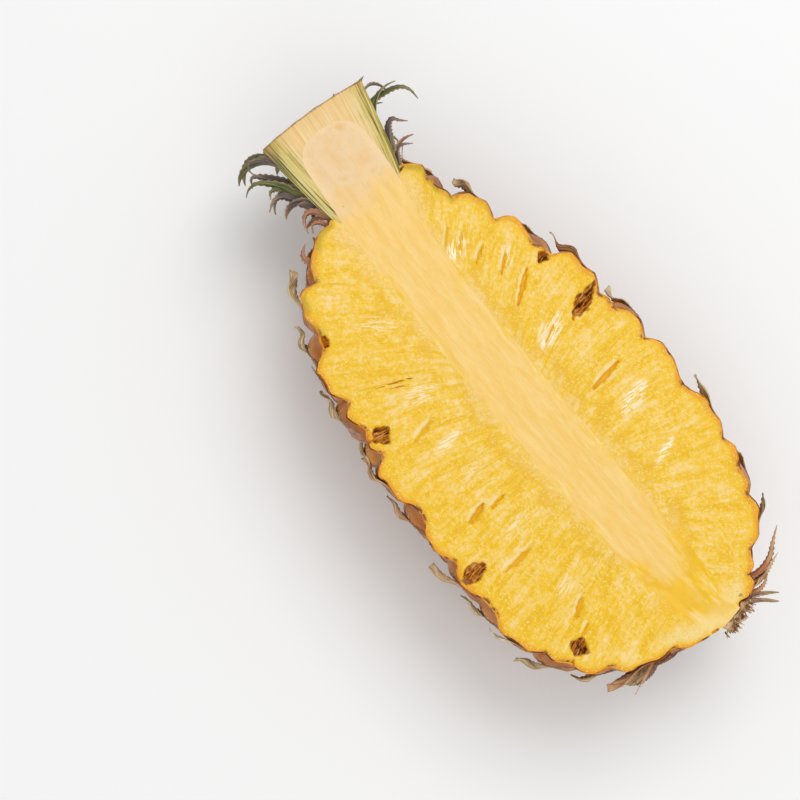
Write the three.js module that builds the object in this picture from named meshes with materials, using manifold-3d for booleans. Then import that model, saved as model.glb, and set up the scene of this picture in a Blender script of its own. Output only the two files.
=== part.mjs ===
import * as THREE from "three";
import { mergeVertices } from "three/addons/utils/BufferGeometryUtils.js";
import Module from "manifold-3d";

// Half of a ripe pineapple, split lengthwise through its trimmed crown.
// It lies on its rind with the cut face up. Millimetres, +Z up, +X along the core towards the crown.
// The pieces are modelled with the cut face at z = 0 and lifted at the end to stand on z = 0.

const wasm = await Module();
wasm.setup();

// Driving sizes of the fruit
const FRUIT_BASE_X = -99;
const FRUIT_NECK_X = 103;
const WIDEST_SHARE = 0.36; // how far along the fruit, from its base, it is widest
const HALF_WIDTH = 54.8; // from the middle line to the middle of the eyes' relief
const BELLY_DEPTH = 50; // the underside is a little flatter than the fruit is wide
const LYING_DEPTH = 50.6; // from the cut face to the worn crests that the fruit lies on
const RIND = 3.6; // mean thickness of the rind
const FRUIT_LEAN = 3.2; // how far the fruit stands to +Y of the core
const SHOULDER_LEAN = 4.8; // how much further it stands there at its upper shoulder
const SHOULDER_X = 72;
const SHOULDER_REACH = 38;
const BASE_LEAN = 9; // how far its base is drawn to -Y, where the stalk went in
const BASE_LEAN_REACH = 9;
const GAP = 0.3; // clearance between pieces that touch
const LIP = 1; // how far the untrimmed solids stand above the cut face

// The eyes, set on the golden-angle spiral
const GOLDEN_ANGLE = Math.PI * (3 - Math.sqrt(5));
const EYE_PITCH = 22.5;
const EYE_TURN = 3.6; // turns the whole spiral about the core
const EYE_RELIEF = 5; // from the grooves to the crests
const GROOVE_REACH = 8.5; // how far from a groove its pillow is still rising
const EYE_DISC = 4.4; // radius of the dent in the middle of an eye

// The crown stub and the stalk end
const CROWN_START_X = 98.5;
const CROWN_END_X = 136.5;
const CROWN_START_R = 14.6;
const CROWN_END_R = 22.4;
const CROWN_FLARE = 0.75; // below 1 the crown widens most where it leaves the neck
const CROWN_LEAVES = 34; // round the whole crown; half of them are on this side of the cut
const STALK_X = -102;
const STALK_R = 9.5;
const STALK_Y = -11.5;
const STALK_BRACTS = 19; // round the whole stalk

const RING_STEP = 5.4; // mesh step along the fruit
const RING_SEGMENTS = 32; // mesh steps round the half section
const INNER_STEP = 13; // the same for the smooth faces inside
const INNER_SEGMENTS = 18;

// A seeded random draw between 0 and 1 for item n, always the same
function draw(n, seed) {
  const value = Math.sin(n * 12.9898 + seed * 78.233) * 43758.5453;
  return value - Math.floor(value);
}

function clamp01(value) {
  return Math.min(Math.max(value, 0), 1);
}

function smooth(value) {
  const t = clamp01(value);
  return t * t * (3 - 2 * t);
}

// Half width of the fruit at x: a blunt superellipse at the base, a slimmer one towards the neck
function halfWidth(x) {
  const share = clamp01((x - FRUIT_BASE_X) / (FRUIT_NECK_X - FRUIT_BASE_X));
  if (share < WIDEST_SHARE) {
    return HALF_WIDTH * (1 - (1 - share / WIDEST_SHARE) ** 3.2) ** (1 / 1.6);
  }
  const reach = (share - WIDEST_SHARE) / (1.03 - WIDEST_SHARE);
  return HALF_WIDTH * (1 - reach ** 2.6) ** (1 / 1.8);
}

// Depth of the fruit below the cut: as its half width, eased off where the belly would pass BELLY_DEPTH
function depth(x) {
  const w = halfWidth(x);
  const ease = 5;
  return w < BELLY_DEPTH - ease ? w : BELLY_DEPTH - ease * Math.exp((BELLY_DEPTH - ease - w) / ease);
}

// The fruit leans a little to +Y between its shoulders, and comes back to the core at both ends
function middle(x) {
  const shoulder = SHOULDER_LEAN * Math.exp(-(((x - SHOULDER_X) / SHOULDER_REACH) ** 2));
  const base = BASE_LEAN * Math.exp(-(((x - FRUIT_BASE_X) / BASE_LEAN_REACH) ** 2));
  return (FRUIT_LEAN + shoulder - base) * smooth((FRUIT_NECK_X - x) / 18);
}

// Eyes shrink towards both ends of the fruit
function eyeSize(radius) {
  return Math.max(radius / HALF_WIDTH, 0.5) ** 0.45;
}

// Arc length and count of eyes along the fruit, from the base
function profileTable() {
  const steps = 600;
  const rows = [{ x: FRUIT_BASE_X, along: 0, count: 0 }];
  for (let k = 1; k <= steps; k++) {
    const last = rows[rows.length - 1];
    const x = FRUIT_BASE_X + (FRUIT_NECK_X - FRUIT_BASE_X) * (k / steps) ** 1.8;
    const radius = (halfWidth(x) + depth(x)) / 2;
    const step = Math.hypot(x - last.x, halfWidth(x) - halfWidth(last.x));
    const eyeArea = 0.866 * (EYE_PITCH * eyeSize(radius)) ** 2;
    const count = last.count + (2 * Math.PI * radius * step) / eyeArea;
    rows.push({ x, along: last.along + step, count });
  }
  return rows;
}

const PROFILE = profileTable();
const FRUIT_ALONG = PROFILE[PROFILE.length - 1].along;

// Reads one column of the profile table at a value of another
function lookUp(from, value, to) {
  let high = PROFILE.findIndex((row) => row[from] >= value);
  if (high < 0) {
    high = PROFILE.length - 1;
  }
  const b = PROFILE[Math.max(high, 1)];
  const a = PROFILE[Math.max(high, 1) - 1];
  const share = clamp01((value - a[from]) / (b[from] - a[from]));
  return a[to] + (b[to] - a[to]) * share;
}

function makeEyes() {
  const eyes = [];
  const total = PROFILE[PROFILE.length - 1].count;
  for (let n = 0; n + 0.5 < total; n++) {
    const along = lookUp("count", n + 0.5, "along");
    const x = lookUp("along", along, "x");
    const radius = (halfWidth(x) + depth(x)) / 2;
    const turn = (n * GOLDEN_ANGLE + EYE_TURN) % (2 * Math.PI);
    eyes.push({ n, along, turn, radius, size: eyeSize(radius) });
  }
  return eyes;
}

const EYES = makeEyes();

function wrapAngle(angle) {
  return Math.atan2(Math.sin(angle), Math.cos(angle));
}

// Height of the eyes' relief: pillows that lean to the crown, with a groove between and a dent in each.
// It dies away at both ends of the fruit.
function relief(along, turn) {
  const radius = (halfWidth(lookUp("along", along, "x")) + depth(lookUp("along", along, "x"))) / 2;
  let first = Infinity;
  let second = Infinity;
  let lean = 0;
  for (const eye of EYES) {
    const up = along - eye.along;
    if (Math.abs(up) > 1.6 * EYE_PITCH) {
      continue;
    }
    const across = wrapAngle(turn - eye.turn) * radius;
    const distance = Math.hypot(up, across);
    if (distance < first) {
      second = first;
      first = distance;
      lean = up / (EYE_PITCH * eye.size);
    } else if (distance < second) {
      second = distance;
    }
  }
  const size = eyeSize(radius);
  const fromGroove = clamp01((second - first) / (2 * size) / GROOVE_REACH);
  const pillow = Math.sin((Math.PI / 2) * fromGroove);
  const dent = 0.9 * Math.exp(-((first / size / EYE_DISC) ** 2));
  const ends = smooth(along / 16) * smooth((FRUIT_ALONG - along) / 9);
  return ends * size * (EYE_RELIEF * (pillow * (1 + 0.5 * lean) - 0.55) - dent);
}

// A point of the fruit's smooth surface, offset along its normal
function fruitPoint(along, turn, offset) {
  const at = (a, t) => {
    const x = lookUp("along", clamp01(a / FRUIT_ALONG) * FRUIT_ALONG, "x");
    const y = middle(x) + halfWidth(x) * Math.cos(t);
    return new THREE.Vector3(x, y, -depth(x) * Math.sin(t));
  };
  const here = at(along, turn);
  const forward = at(along + 1.5, turn).sub(at(along - 1.5, turn));
  const round = at(along, turn + 0.02).sub(at(along, turn - 0.02));
  const outward = forward.cross(round).normalize();
  if (outward.length() < 0.5) {
    outward.set(-1, 0, 0);
  }
  return here.addScaledVector(outward, offset);
}

// Indexed geometry of a grid of points (rows x columns), as a shell of quads
function addGrid(faces, rows, columns, first, flip) {
  for (let i = 0; i + 1 < rows; i++) {
    for (let j = 0; j + 1 < columns; j++) {
      const a = first + i * columns + j;
      const quad = [a, a + 1, a + columns + 1, a + columns];
      const [p, q, r, s] = flip ? quad.reverse() : quad;
      faces.push(p, q, r, p, r, s);
    }
  }
}

function geometryOf(points, faces) {
  const positions = new Float32Array(points.flatMap((p) => [p.x, p.y, p.z]));
  const geometry = new THREE.BufferGeometry();
  geometry.setAttribute("position", new THREE.BufferAttribute(positions, 3));
  geometry.setIndex(faces);
  return geometry;
}

// The closed solid of rings of points that run under the cut face from +Y to -Y.
// Its walls stand LIP above the cut face, so that one cut at z = 0 trims every piece alike.
function halfLoft(lowerRings) {
  const lifted = (p) => new THREE.Vector3(p.x, p.y, LIP);
  const rings = lowerRings.map((ring) => [lifted(ring[0]), ...ring, lifted(ring[ring.length - 1])]);
  const columns = rings[0].length;
  const points = rings.flat();
  const faces = [];
  addGrid(faces, rings.length, columns, 0, false);
  for (let i = 0; i + 1 < rings.length; i++) {
    const a = i * columns;
    const b = a + columns;
    faces.push(a, b, b + columns - 1, a, b + columns - 1, b - 1);
  }
  const last = (rings.length - 1) * columns;
  for (let j = 1; j + 1 < columns; j++) {
    faces.push(0, j + 1, j);
    faces.push(last, last + j, last + j + 1);
  }
  return geometryOf(points, faces);
}

// The closed solid of a thin blade: rows of points from root to tip, with a lower copy of each
function bladeGeometry(rows, lowerRows) {
  const columns = rows[0].length;
  const points = [...rows.flat(), ...lowerRows.flat()];
  const lower = rows.length * columns;
  const faces = [];
  addGrid(faces, rows.length, columns, 0, false);
  addGrid(faces, rows.length, columns, lower, true);
  for (let i = 0; i + 1 < rows.length; i++) {
    const a = i * columns;
    const b = a + columns;
    faces.push(a, b, lower + b, a, lower + b, lower + a);
    faces.push(b - 1, lower + b - 1, lower + b + columns - 1);
    faces.push(b - 1, lower + b + columns - 1, b + columns - 1);
  }
  const end = (rows.length - 1) * columns;
  for (let j = 0; j + 1 < columns; j++) {
    faces.push(j, lower + j, lower + j + 1, j, lower + j + 1, j + 1);
    faces.push(end + j, lower + end + j + 1, lower + end + j);
    faces.push(end + j, end + j + 1, lower + end + j + 1);
  }
  return geometryOf(points, faces);
}

function solidOf(geometry) {
  const merged = mergeVertices(geometry, 1e-4);
  const triVerts = new Uint32Array(merged.index.array);
  const mesh = { numProp: 3, vertProperties: merged.attributes.position.array, triVerts };
  const solid = new wasm.Manifold(new wasm.Mesh(mesh));
  if (solid.volume() > 0) {
    return solid;
  }
  for (let i = 0; i < triVerts.length; i += 3) {
    [triVerts[i + 1], triVerts[i + 2]] = [triVerts[i + 2], triVerts[i + 1]];
  }
  return new wasm.Manifold(new wasm.Mesh(mesh));
}

function boxSolid(low, high) {
  const size = new THREE.Vector3().subVectors(high, low);
  const box = new THREE.BoxGeometry(size.x, size.y, size.z);
  box.translate((low.x + high.x) / 2, (low.y + high.y) / 2, (low.z + high.z) / 2);
  box.deleteAttribute("normal");
  box.deleteAttribute("uv");
  return solidOf(box);
}

// What lies between the cut face and the surface that the fruit rests on
function halfSpace(lowest) {
  return boxSolid(new THREE.Vector3(-200, -150, lowest), new THREE.Vector3(200, 150, 0));
}

// Keeps the largest body, so that a trimmed leaf tip leaves no scrap behind
function largest(solid) {
  return solid.decompose().sort((a, b) => b.volume() - a.volume())[0];
}

// One of the fruit's inner surfaces, smooth, at a depth below the relief's middle
function innerFruit(inset) {
  const rings = [];
  const first = RIND + 1;
  const last = FRUIT_ALONG - 2 - (inset - RIND);
  const count = Math.round((last - first) / INNER_STEP);
  for (let i = 0; i <= count; i++) {
    const along = first + ((last - first) * i) / count;
    const ring = [];
    for (let j = 0; j <= INNER_SEGMENTS; j++) {
      ring.push(fruitPoint(along, (Math.PI * j) / INNER_SEGMENTS, -inset));
    }
    rings.push(ring);
  }
  return solidOf(halfLoft(rings));
}

// The outside of the fruit, with the eyes raised from it
function outerFruit() {
  const rings = [];
  const count = Math.round(FRUIT_ALONG / RING_STEP);
  for (let i = 0; i <= count; i++) {
    const along = 1 + ((FRUIT_ALONG - 1) * i) / count;
    const ring = [];
    for (let j = 0; j <= RING_SEGMENTS; j++) {
      const turn = (Math.PI * j) / RING_SEGMENTS;
      const point = fruitPoint(along, turn, relief(along, turn));
      ring.push(point);
    }
    ring[0].z = 0;
    ring[RING_SEGMENTS].z = 0;
    rings.push(ring);
  }
  return solidOf(halfLoft(rings));
}

// The dry bract of one eye: broad at the groove below the eye, pointed over its middle, with a free tip
function eyeBract(eye) {
  const { size, along, turn, n } = eye;
  const length = 18 * size * (0.85 + 0.4 * draw(n, 1));
  const sway = 3 * (draw(n, 2) - 0.5) * size;
  const tipLift = (1.4 + 2.2 * draw(n, 3)) * size;
  // each row is how far along the bract, its half width, and how high it lies over the skin
  const rows = [
    [-8.2 * size, 7.6 * size, -0.4],
    [-8.2 * size + 0.45 * length, 5.4 * size, 0.7],
    [-8.2 * size + length, 0.45, tipLift],
  ];
  const place = (drop) =>
    rows.map(([up, wide, lift], row) =>
      [-1, 1].map((side) => {
        const a = along + up;
        const t = turn + (side * wide + (sway * row) / 2) / eye.radius;
        const under = row === 2 ? Math.min(drop, 0.8) : drop;
        return fruitPoint(a, t, relief(a, t) + lift - under);
      }),
    );
  return solidOf(bladeGeometry(place(0), place(1.9)));
}

function onThisSide(turn, margin) {
  const t = wrapAngle(turn);
  return t > -margin && t < Math.PI + margin ? true : t < -Math.PI + margin;
}

function makeRind() {
  const bracts = EYES.filter((eye) => eye.n > 3 && onThisSide(eye.turn, 0.1)).map(eyeBract);
  const skin = outerFruit().add(wasm.Manifold.union(bracts));
  const room = innerFruit(RIND);
  const neck = neckSolid(GAP);
  const stem = stalkCore(GAP).add(coreSolid(GAP));
  return largest(skin.intersect(halfSpace(-LYING_DEPTH)).subtract(room).subtract(neck).subtract(stem));
}

// The core is the fruit's stem. Stations: x, y of its middle, radius
const CORE_STATIONS = [
  [-99, -8, 6.4],
  [-92, -7, 8.4],
  [-60, -3, 11.3],
  [-10, 0.4, 12],
  [45, 2.6, 11.6],
  [82, 2.2, 11.6],
  [100, 0.6, 13.6],
  [110, 0.2, 13.4],
  [121, 0, 13.2],
  [127.4, -0.2, 11.4],
  [130.4, -0.2, 6.6],
];

function coreSolid(swell) {
  const segments = 12;
  const spine = new THREE.CatmullRomCurve3(
    CORE_STATIONS.map(([x, y, r]) => new THREE.Vector3(x, y, r)),
  );
  const count = 16;
  const rings = [];
  for (let i = 0; i <= count; i++) {
    const p = spine.getPoint(i / count);
    const end = i === count ? swell : i === 0 ? -swell : 0;
    const ring = [];
    for (let j = 0; j <= segments; j++) {
      const turn = (Math.PI * j) / segments;
      const r = p.z + swell;
      ring.push(new THREE.Vector3(p.x + end, p.y + r * Math.cos(turn), -r * Math.sin(turn)));
    }
    rings.push(ring);
  }
  return solidOf(halfLoft(rings));
}

function makeCore() {
  return coreSolid(0).intersect(halfSpace(-LYING_DEPTH));
}

// Radius of the bundle of leaf bases round the heart of the crown
function crownRadius(x) {
  const share = clamp01((x - CROWN_START_X) / (CROWN_END_X - CROWN_START_X));
  return CROWN_START_R + (CROWN_END_R - CROWN_START_R) * share ** CROWN_FLARE;
}

// The crown leans back over the neck: Y of its middle
function crownMiddle(x) {
  const share = clamp01((x - CROWN_START_X) / (CROWN_END_X - CROWN_START_X));
  return 1.2 - 2.3 * share;
}

// The smooth neck that the rind closes round
function neckSolid(swell) {
  const rings = [CROWN_START_X - swell, FRUIT_NECK_X, CROWN_END_X + swell].map((x) => {
    const ring = [];
    for (let j = 0; j <= 20; j++) {
      const turn = (Math.PI * j) / 20;
      const r = crownRadius(x) + swell;
      ring.push(new THREE.Vector3(x, crownMiddle(x) + r * Math.cos(turn), -r * Math.sin(turn)));
    }
    return ring;
  });
  return solidOf(halfLoft(rings));
}

// Overlapping leaf bases, each a shallow ridge that runs up the crown and twists round it
function leafBases() {
  const rings = [];
  const segments = 28;
  const count = 4;
  for (let i = 0; i <= count; i++) {
    const x = CROWN_START_X + ((CROWN_END_X - CROWN_START_X) * i) / count;
    const ring = [];
    for (let j = 0; j <= segments; j++) {
      const turn = (Math.PI * j) / segments;
      const fold = i === 0 || (j + (i % 2) * 2) % 4 < 2 ? 0 : 0.8;
      const r = crownRadius(x) - fold;
      const bulge = i === count ? 1.6 * Math.sin(turn) : 0;
      ring.push(new THREE.Vector3(x + bulge, crownMiddle(x) + r * Math.cos(turn), -r * Math.sin(turn)));
    }
    rings.push(ring);
  }
  return solidOf(halfLoft(rings));
}

// A leaf with a saw-toothed edge that leaves its stem at root, runs out along it and curls back
function toothedLeaf(root, forward, outward, leaf) {
  const side = new THREE.Vector3().crossVectors(forward, outward).normalize();
  const rowCount = leaf.teeth * 2;
  const build = (drop) => {
    const rows = [];
    const place = root.clone();
    for (let i = 0; i <= rowCount; i++) {
      const share = i / rowCount;
      const bend = leaf.rise + leaf.curl * share;
      const heading = forward.clone().multiplyScalar(Math.cos(bend));
      heading.addScaledVector(outward, Math.sin(bend));
      const over = outward.clone().multiplyScalar(Math.cos(bend));
      over.addScaledVector(forward, -Math.sin(bend));
      const taper = Math.max(1 - share ** 2.2, 0.08) * (i % 2 ? 1 : 0.8);
      const half = (leaf.width / 2) * taper;
      const middlePoint = place.clone().addScaledVector(over, -drop);
      rows.push(
        [-1, 0, 1].map((s) =>
          middlePoint
            .clone()
            .addScaledVector(side, s * half)
            .addScaledVector(over, s === 0 ? -0.22 * half : 0),
        ),
      );
      place.addScaledVector(heading, leaf.length / rowCount);
    }
    return rows;
  };
  return solidOf(bladeGeometry(build(0), build(leaf.thick)));
}

// The directions round the core at one turn: out from it, in the plane of a section
function outAt(turn) {
  return new THREE.Vector3(0, Math.cos(turn), -Math.sin(turn));
}

// Leaves beside the cut face. Each: x of its root, turn, length, width, rise, curl
const SHOWN_LEAVES = [
  [104, 0.16, 18, 6, 0.7, 2],
  [111, 0.14, 23, 6.5, 0.5, 1.3],
  [120, 0.13, 22, 6.5, 0.3, 1.7],
  [130, 0.12, 13, 6, 0.5, 1.8],
  [106, Math.PI - 0.14, 14, 5, 0.3, 2.2],
  [127, Math.PI - 0.13, 23, 5.5, 0.5, 2.1],
];
const LEAF_THICKNESS = 0.9;
const LEAF_ROOT_DEPTH = 2.2; // how far a leaf's root is inside the bundle

function crownLeaf(x, turn, leaf) {
  const out = outAt(turn);
  const root = out.clone().multiplyScalar(crownRadius(x) - LEAF_ROOT_DEPTH);
  root.x = x;
  root.y += crownMiddle(x);
  return toothedLeaf(root, new THREE.Vector3(1, 0, 0), out, { thick: LEAF_THICKNESS, teeth: 2, ...leaf });
}

function makeCrown() {
  const leaves = SHOWN_LEAVES.map(([x, turn, length, width, rise, curl]) =>
    crownLeaf(x, turn, { length, width, rise, curl }),
  );
  for (let n = 0; n < CROWN_LEAVES; n++) {
    const turn = n * GOLDEN_ANGLE + 0.5;
    if (!onThisSide(turn, -0.3)) {
      continue;
    }
    const up = n / CROWN_LEAVES;
    const x = FRUIT_NECK_X - 2 + (CROWN_END_X - FRUIT_NECK_X - 8) * up;
    const leaf = {
      length: 13 + 9 * up + 7 * draw(n, 4),
      width: 8 + 3 * draw(n, 5),
      rise: 0.35 + 0.25 * draw(n, 6),
      curl: 1.3 + 1.3 * draw(n, 7),
    };
    leaves.push(crownLeaf(x, turn, leaf));
  }
  const whole = leafBases().add(wasm.Manifold.union(leaves));
  return largest(whole.intersect(halfSpace(-LYING_DEPTH)).subtract(coreSolid(GAP)));
}

function stalkCore(swell) {
  const rings = [STALK_X - swell, STALK_X + 9 + swell].map((x, i) => {
    const ring = [];
    for (let j = 0; j <= 16; j++) {
      const turn = (Math.PI * j) / 16;
      const r = STALK_R + swell - 2 * i;
      ring.push(new THREE.Vector3(x, STALK_Y + r * Math.cos(turn), -r * Math.sin(turn)));
    }
    return ring;
  });
  return solidOf(halfLoft(rings));
}

// The cut stalk with the dry bracts that grow round it
function makeStalk() {
  const bracts = [];
  for (let n = 0; n < STALK_BRACTS; n++) {
    const turn = n * GOLDEN_ANGLE + 0.2;
    if (!onThisSide(turn, -0.1)) {
      continue;
    }
    const out = outAt(turn);
    const root = out.clone().multiplyScalar(STALK_R - 2.5);
    root.y += STALK_Y;
    root.x = STALK_X + 1.2;
    const leaf = {
      length: 12 + 13 * draw(n, 8),
      width: 11 + 4 * draw(n, 9),
      rise: 1.25 + 0.25 * draw(n, 10),
      curl: 0.1 + 0.5 * draw(n, 11),
      thick: LEAF_THICKNESS,
      teeth: 2,
    };
    bracts.push(toothedLeaf(root, new THREE.Vector3(-1, 0, 0), out, leaf));
  }
  const whole = stalkCore(0).add(wasm.Manifold.union(bracts));
  return largest(whole.intersect(halfSpace(-LYING_DEPTH)).subtract(coreSolid(GAP)));
}

function makeFlesh() {
  const room = innerFruit(RIND + GAP);
  const stem = coreSolid(GAP).add(neckSolid(GAP)).add(stalkCore(GAP));
  return largest(room.intersect(halfSpace(-LYING_DEPTH)).subtract(stem));
}

function finish(color, roughness) {
  return new THREE.MeshStandardMaterial({ color, roughness, metalness: 0 });
}

function meshOf(name, solid, material) {
  const { vertProperties, triVerts } = solid.getMesh();
  const geometry = new THREE.BufferGeometry();
  geometry.setAttribute("position", new THREE.BufferAttribute(vertProperties, 3));
  geometry.setIndex(new THREE.BufferAttribute(triVerts, 1));
  geometry.computeVertexNormals();
  const mesh = new THREE.Mesh(geometry, material);
  mesh.name = name;
  return mesh;
}

const pineappleHalf = new THREE.Group();
pineappleHalf.add(meshOf("rind", makeRind(), finish(0xc9741c, 0.45)));
pineappleHalf.add(meshOf("flesh", makeFlesh(), finish(0xf4c63a, 0.35)));
pineappleHalf.add(meshOf("core", makeCore(), finish(0xf3d98c, 0.45)));
pineappleHalf.add(meshOf("crown", makeCrown(), finish(0x8d9654, 0.55)));
pineappleHalf.add(meshOf("stalk", makeStalk(), finish(0x8f6f56, 0.8)));

// The origin is under the middle of the whole piece, on the surface that it lies on
const extent = new THREE.Box3().setFromObject(pineappleHalf);
const centre = extent.getCenter(new THREE.Vector3());
pineappleHalf.position.set(-centre.x, -centre.y, LYING_DEPTH);

export default pineappleHalf;
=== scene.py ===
# %% [markdown]
# Half of a ripe pineapple, split lengthwise through its trimmed crown and laid on its rind.
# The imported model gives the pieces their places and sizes. This lesson dresses them: the rind with its
# eyes and dry bracts, the wet cut face, the pale core, the layered crown stub with its saw-edged
# leaves, and the brown stalk.

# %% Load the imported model
import math
from functools import cached_property

import bmesh
import bpy
import numpy as np
from mathutils import Matrix, Vector, noise


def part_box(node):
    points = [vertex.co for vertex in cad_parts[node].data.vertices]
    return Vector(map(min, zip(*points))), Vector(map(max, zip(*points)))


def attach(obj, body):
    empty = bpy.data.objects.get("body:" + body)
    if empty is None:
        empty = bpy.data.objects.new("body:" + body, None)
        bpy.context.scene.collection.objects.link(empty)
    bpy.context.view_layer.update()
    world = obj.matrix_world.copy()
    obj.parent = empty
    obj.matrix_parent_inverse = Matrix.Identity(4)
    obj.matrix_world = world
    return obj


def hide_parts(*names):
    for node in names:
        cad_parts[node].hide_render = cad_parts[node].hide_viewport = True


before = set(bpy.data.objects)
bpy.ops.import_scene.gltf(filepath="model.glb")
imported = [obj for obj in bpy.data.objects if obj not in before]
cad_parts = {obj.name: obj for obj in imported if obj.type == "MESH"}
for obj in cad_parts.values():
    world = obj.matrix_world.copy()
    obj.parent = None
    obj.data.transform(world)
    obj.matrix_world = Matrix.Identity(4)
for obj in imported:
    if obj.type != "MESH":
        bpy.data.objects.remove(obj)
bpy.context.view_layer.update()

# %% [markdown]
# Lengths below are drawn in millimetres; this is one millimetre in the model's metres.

MM = 0.001

# %% [markdown]
# Everything below is drawn in millimetres about the middle of the core, with the cut face at height 0,
# as a fruit grower would describe it: +X runs up to the crown. One matrix then brings each finished
# mesh to its place in the model. Keeping one drawing frame is simpler than placing each piece by hand.

# %% From the drawing to the model
ROW_ORIGIN_X = 16.853
ROW_ORIGIN_Y = 3.593
CUT_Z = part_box("core")[1].z
TO_MODEL = Matrix.Translation((-ROW_ORIGIN_X * MM, -ROW_ORIGIN_Y * MM, CUT_Z)) @ Matrix.Scale(MM, 4)
print("cut face at", round(CUT_Z, 4), "m")

# %% [markdown]
# The fruit is a barrel: blunt at its base, slimmer towards the neck, and a little flattened below where
# it lies. A superellipse on each side of the widest place gives that outline from a few sizes, and the
# same formulas serve every piece that follows the outline.

# %% The outline of the fruit
FRUIT_BASE_X = -99
FRUIT_NECK_X = 103
WIDEST_SHARE = 0.36
NECK_END_SHARE = 1.03
BASE_CURVE = (3.2, 1.6)
NECK_CURVE = (2.6, 1.8)
HALF_WIDTH = 54.8
BELLY_DEPTH = 50
BELLY_EASE = 5
FLOOR_DEPTH = 50.6
FRUIT_LEAN = 3.2
SHOULDER_LEAN = 4.8
SHOULDER_X = 72
SHOULDER_REACH = 38
BASE_LEAN = 9
BASE_LEAN_REACH = 9
NECK_STRAIGHT = 18


def superellipse(share, curve):
    return (1 - share ** curve[0]) ** (1 / curve[1])


def half_width(x):
    share = np.clip((x - FRUIT_BASE_X) / (FRUIT_NECK_X - FRUIT_BASE_X), 0, 1)
    below = np.clip(1 - share / WIDEST_SHARE, 0, 1)
    above = np.clip((share - WIDEST_SHARE) / (NECK_END_SHARE - WIDEST_SHARE), 0, 1)
    base_side = superellipse(below, BASE_CURVE)
    neck_side = superellipse(above, NECK_CURVE)
    return HALF_WIDTH * np.where(share < WIDEST_SHARE, base_side, neck_side)


def depth(x):
    width = half_width(x)
    full = BELLY_DEPTH - BELLY_EASE
    return np.where(width < full, width, BELLY_DEPTH - BELLY_EASE * np.exp((full - width) / BELLY_EASE))


def mean_radius(x):
    return (half_width(x) + depth(x)) / 2


def smooth(value):
    """Eases a value from 0 to 1, and holds it there."""
    t = np.clip(value, 0, 1)
    return t * t * (3 - 2 * t)


def bell(value, centre, reach):
    return np.exp(-(((value - centre) / reach) ** 2))


def middle(x):
    shoulder = SHOULDER_LEAN * bell(x, SHOULDER_X, SHOULDER_REACH)
    base = BASE_LEAN * bell(x, FRUIT_BASE_X, BASE_LEAN_REACH)
    return (FRUIT_LEAN + shoulder - base) * smooth((FRUIT_NECK_X - x) / NECK_STRAIGHT)


print("half width at the middle of the fruit:", round(float(half_width(0.0)), 1), "mm")

# %% [markdown]
# A pineapple's eyes grow one after another, each a golden angle further round than the last. That one
# rule makes the 8, 13 and 21 spirals of a real fruit. The table below walks along the outline and
# counts how many eyes fit, so that each eye gets its share of skin.

# %% Where the eyes grow
GOLDEN_ANGLE = math.pi * (3 - math.sqrt(5))
EYE_PITCH = 22.5
EYE_TURN = 3.6
HEXAGON_SHARE = 0.866
EYE_LEAST_SHARE = 0.5
EYE_POWER = 0.45
TABLE_STEPS = 601
TABLE_CROWDING = 1.8
NEAR_BASE = slice(0, 300)


def eye_size(radius):
    """Eyes are smaller where the fruit is slimmer, but never less than about three quarters."""
    return np.maximum(radius / HALF_WIDTH, EYE_LEAST_SHARE) ** EYE_POWER


table_share = np.linspace(0, 1, TABLE_STEPS) ** TABLE_CROWDING
TABLE_X = FRUIT_BASE_X + (FRUIT_NECK_X - FRUIT_BASE_X) * table_share
table_width = half_width(TABLE_X)
table_radius = mean_radius(TABLE_X)[1:]
table_step = np.hypot(np.diff(TABLE_X), np.diff(table_width))
TABLE_ALONG = np.concatenate([[0], np.cumsum(table_step)])
eye_area = HEXAGON_SHARE * (EYE_PITCH * eye_size(table_radius)) ** 2
TABLE_COUNT = np.concatenate([[0], np.cumsum(2 * math.pi * table_radius * table_step / eye_area)])
FRUIT_ALONG = TABLE_ALONG[-1]


def x_at(along):
    return np.interp(along, TABLE_ALONG, TABLE_X)


def base_edge(y):
    """Where the rim of the cut face is at the base of the fruit, for a place across it."""
    x = TABLE_X[NEAR_BASE]
    width = table_width[NEAR_BASE]
    upper = np.interp(y, middle(x) + width, x)
    lower = np.interp(-y, width - middle(x), x)
    return np.maximum(upper, lower)


EYE_N = np.arange(int(TABLE_COUNT[-1] + 0.5))
EYE_ALONG = np.interp(EYE_N + 0.5, TABLE_COUNT, TABLE_ALONG)
EYE_X = x_at(EYE_ALONG)
EYE_RADIUS = mean_radius(EYE_X)
EYE_SIZE = eye_size(EYE_RADIUS)
EYE_ANGLE = np.mod(EYE_N * GOLDEN_ANGLE + EYE_TURN, 2 * math.pi)
print(len(EYE_N), "eyes on the whole fruit,", round(FRUIT_ALONG), "mm along its outline")

# %% [markdown]
# Each eye is a pillow: low at the groove round it, high towards the crown, with a shallow dish in its
# middle. For every point of skin the nearest two eyes are found. The nearest says which pillow the
# point is on, and the difference between the two says how far it is from the groove.

# %% The relief of the eyes
EYE_RELIEF = 5
GROOVE_REACH = 6.8
GROOVE_LEVEL = 0.55
ROUND_FROM = 8
ROUND_REACH = 4
ROUND_LOSS = 0.55
DENT_DEPTH = 0.9
DENT_REACH = 4.4
RING_HEIGHT = 0.5
RING_AT = 5.6
RING_REACH = 1.2
BASE_FADE = 16
NECK_FADE = 9
CUT_CALM = 0.4
CALM_FROM_X = 25
CALM_REACH = 50
PROBE_MM = 1.5
PROBE_TURN = 0.02
SEED_SHIFT = 7.3


def from_eye(along, turn, radius, n):
    """How far points of the skin are from the middle of an eye, along the fruit and round it."""
    gap = turn - EYE_ANGLE[n]
    return along - EYE_ALONG[n], np.arctan2(np.sin(gap), np.cos(gap)) * radius


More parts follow.
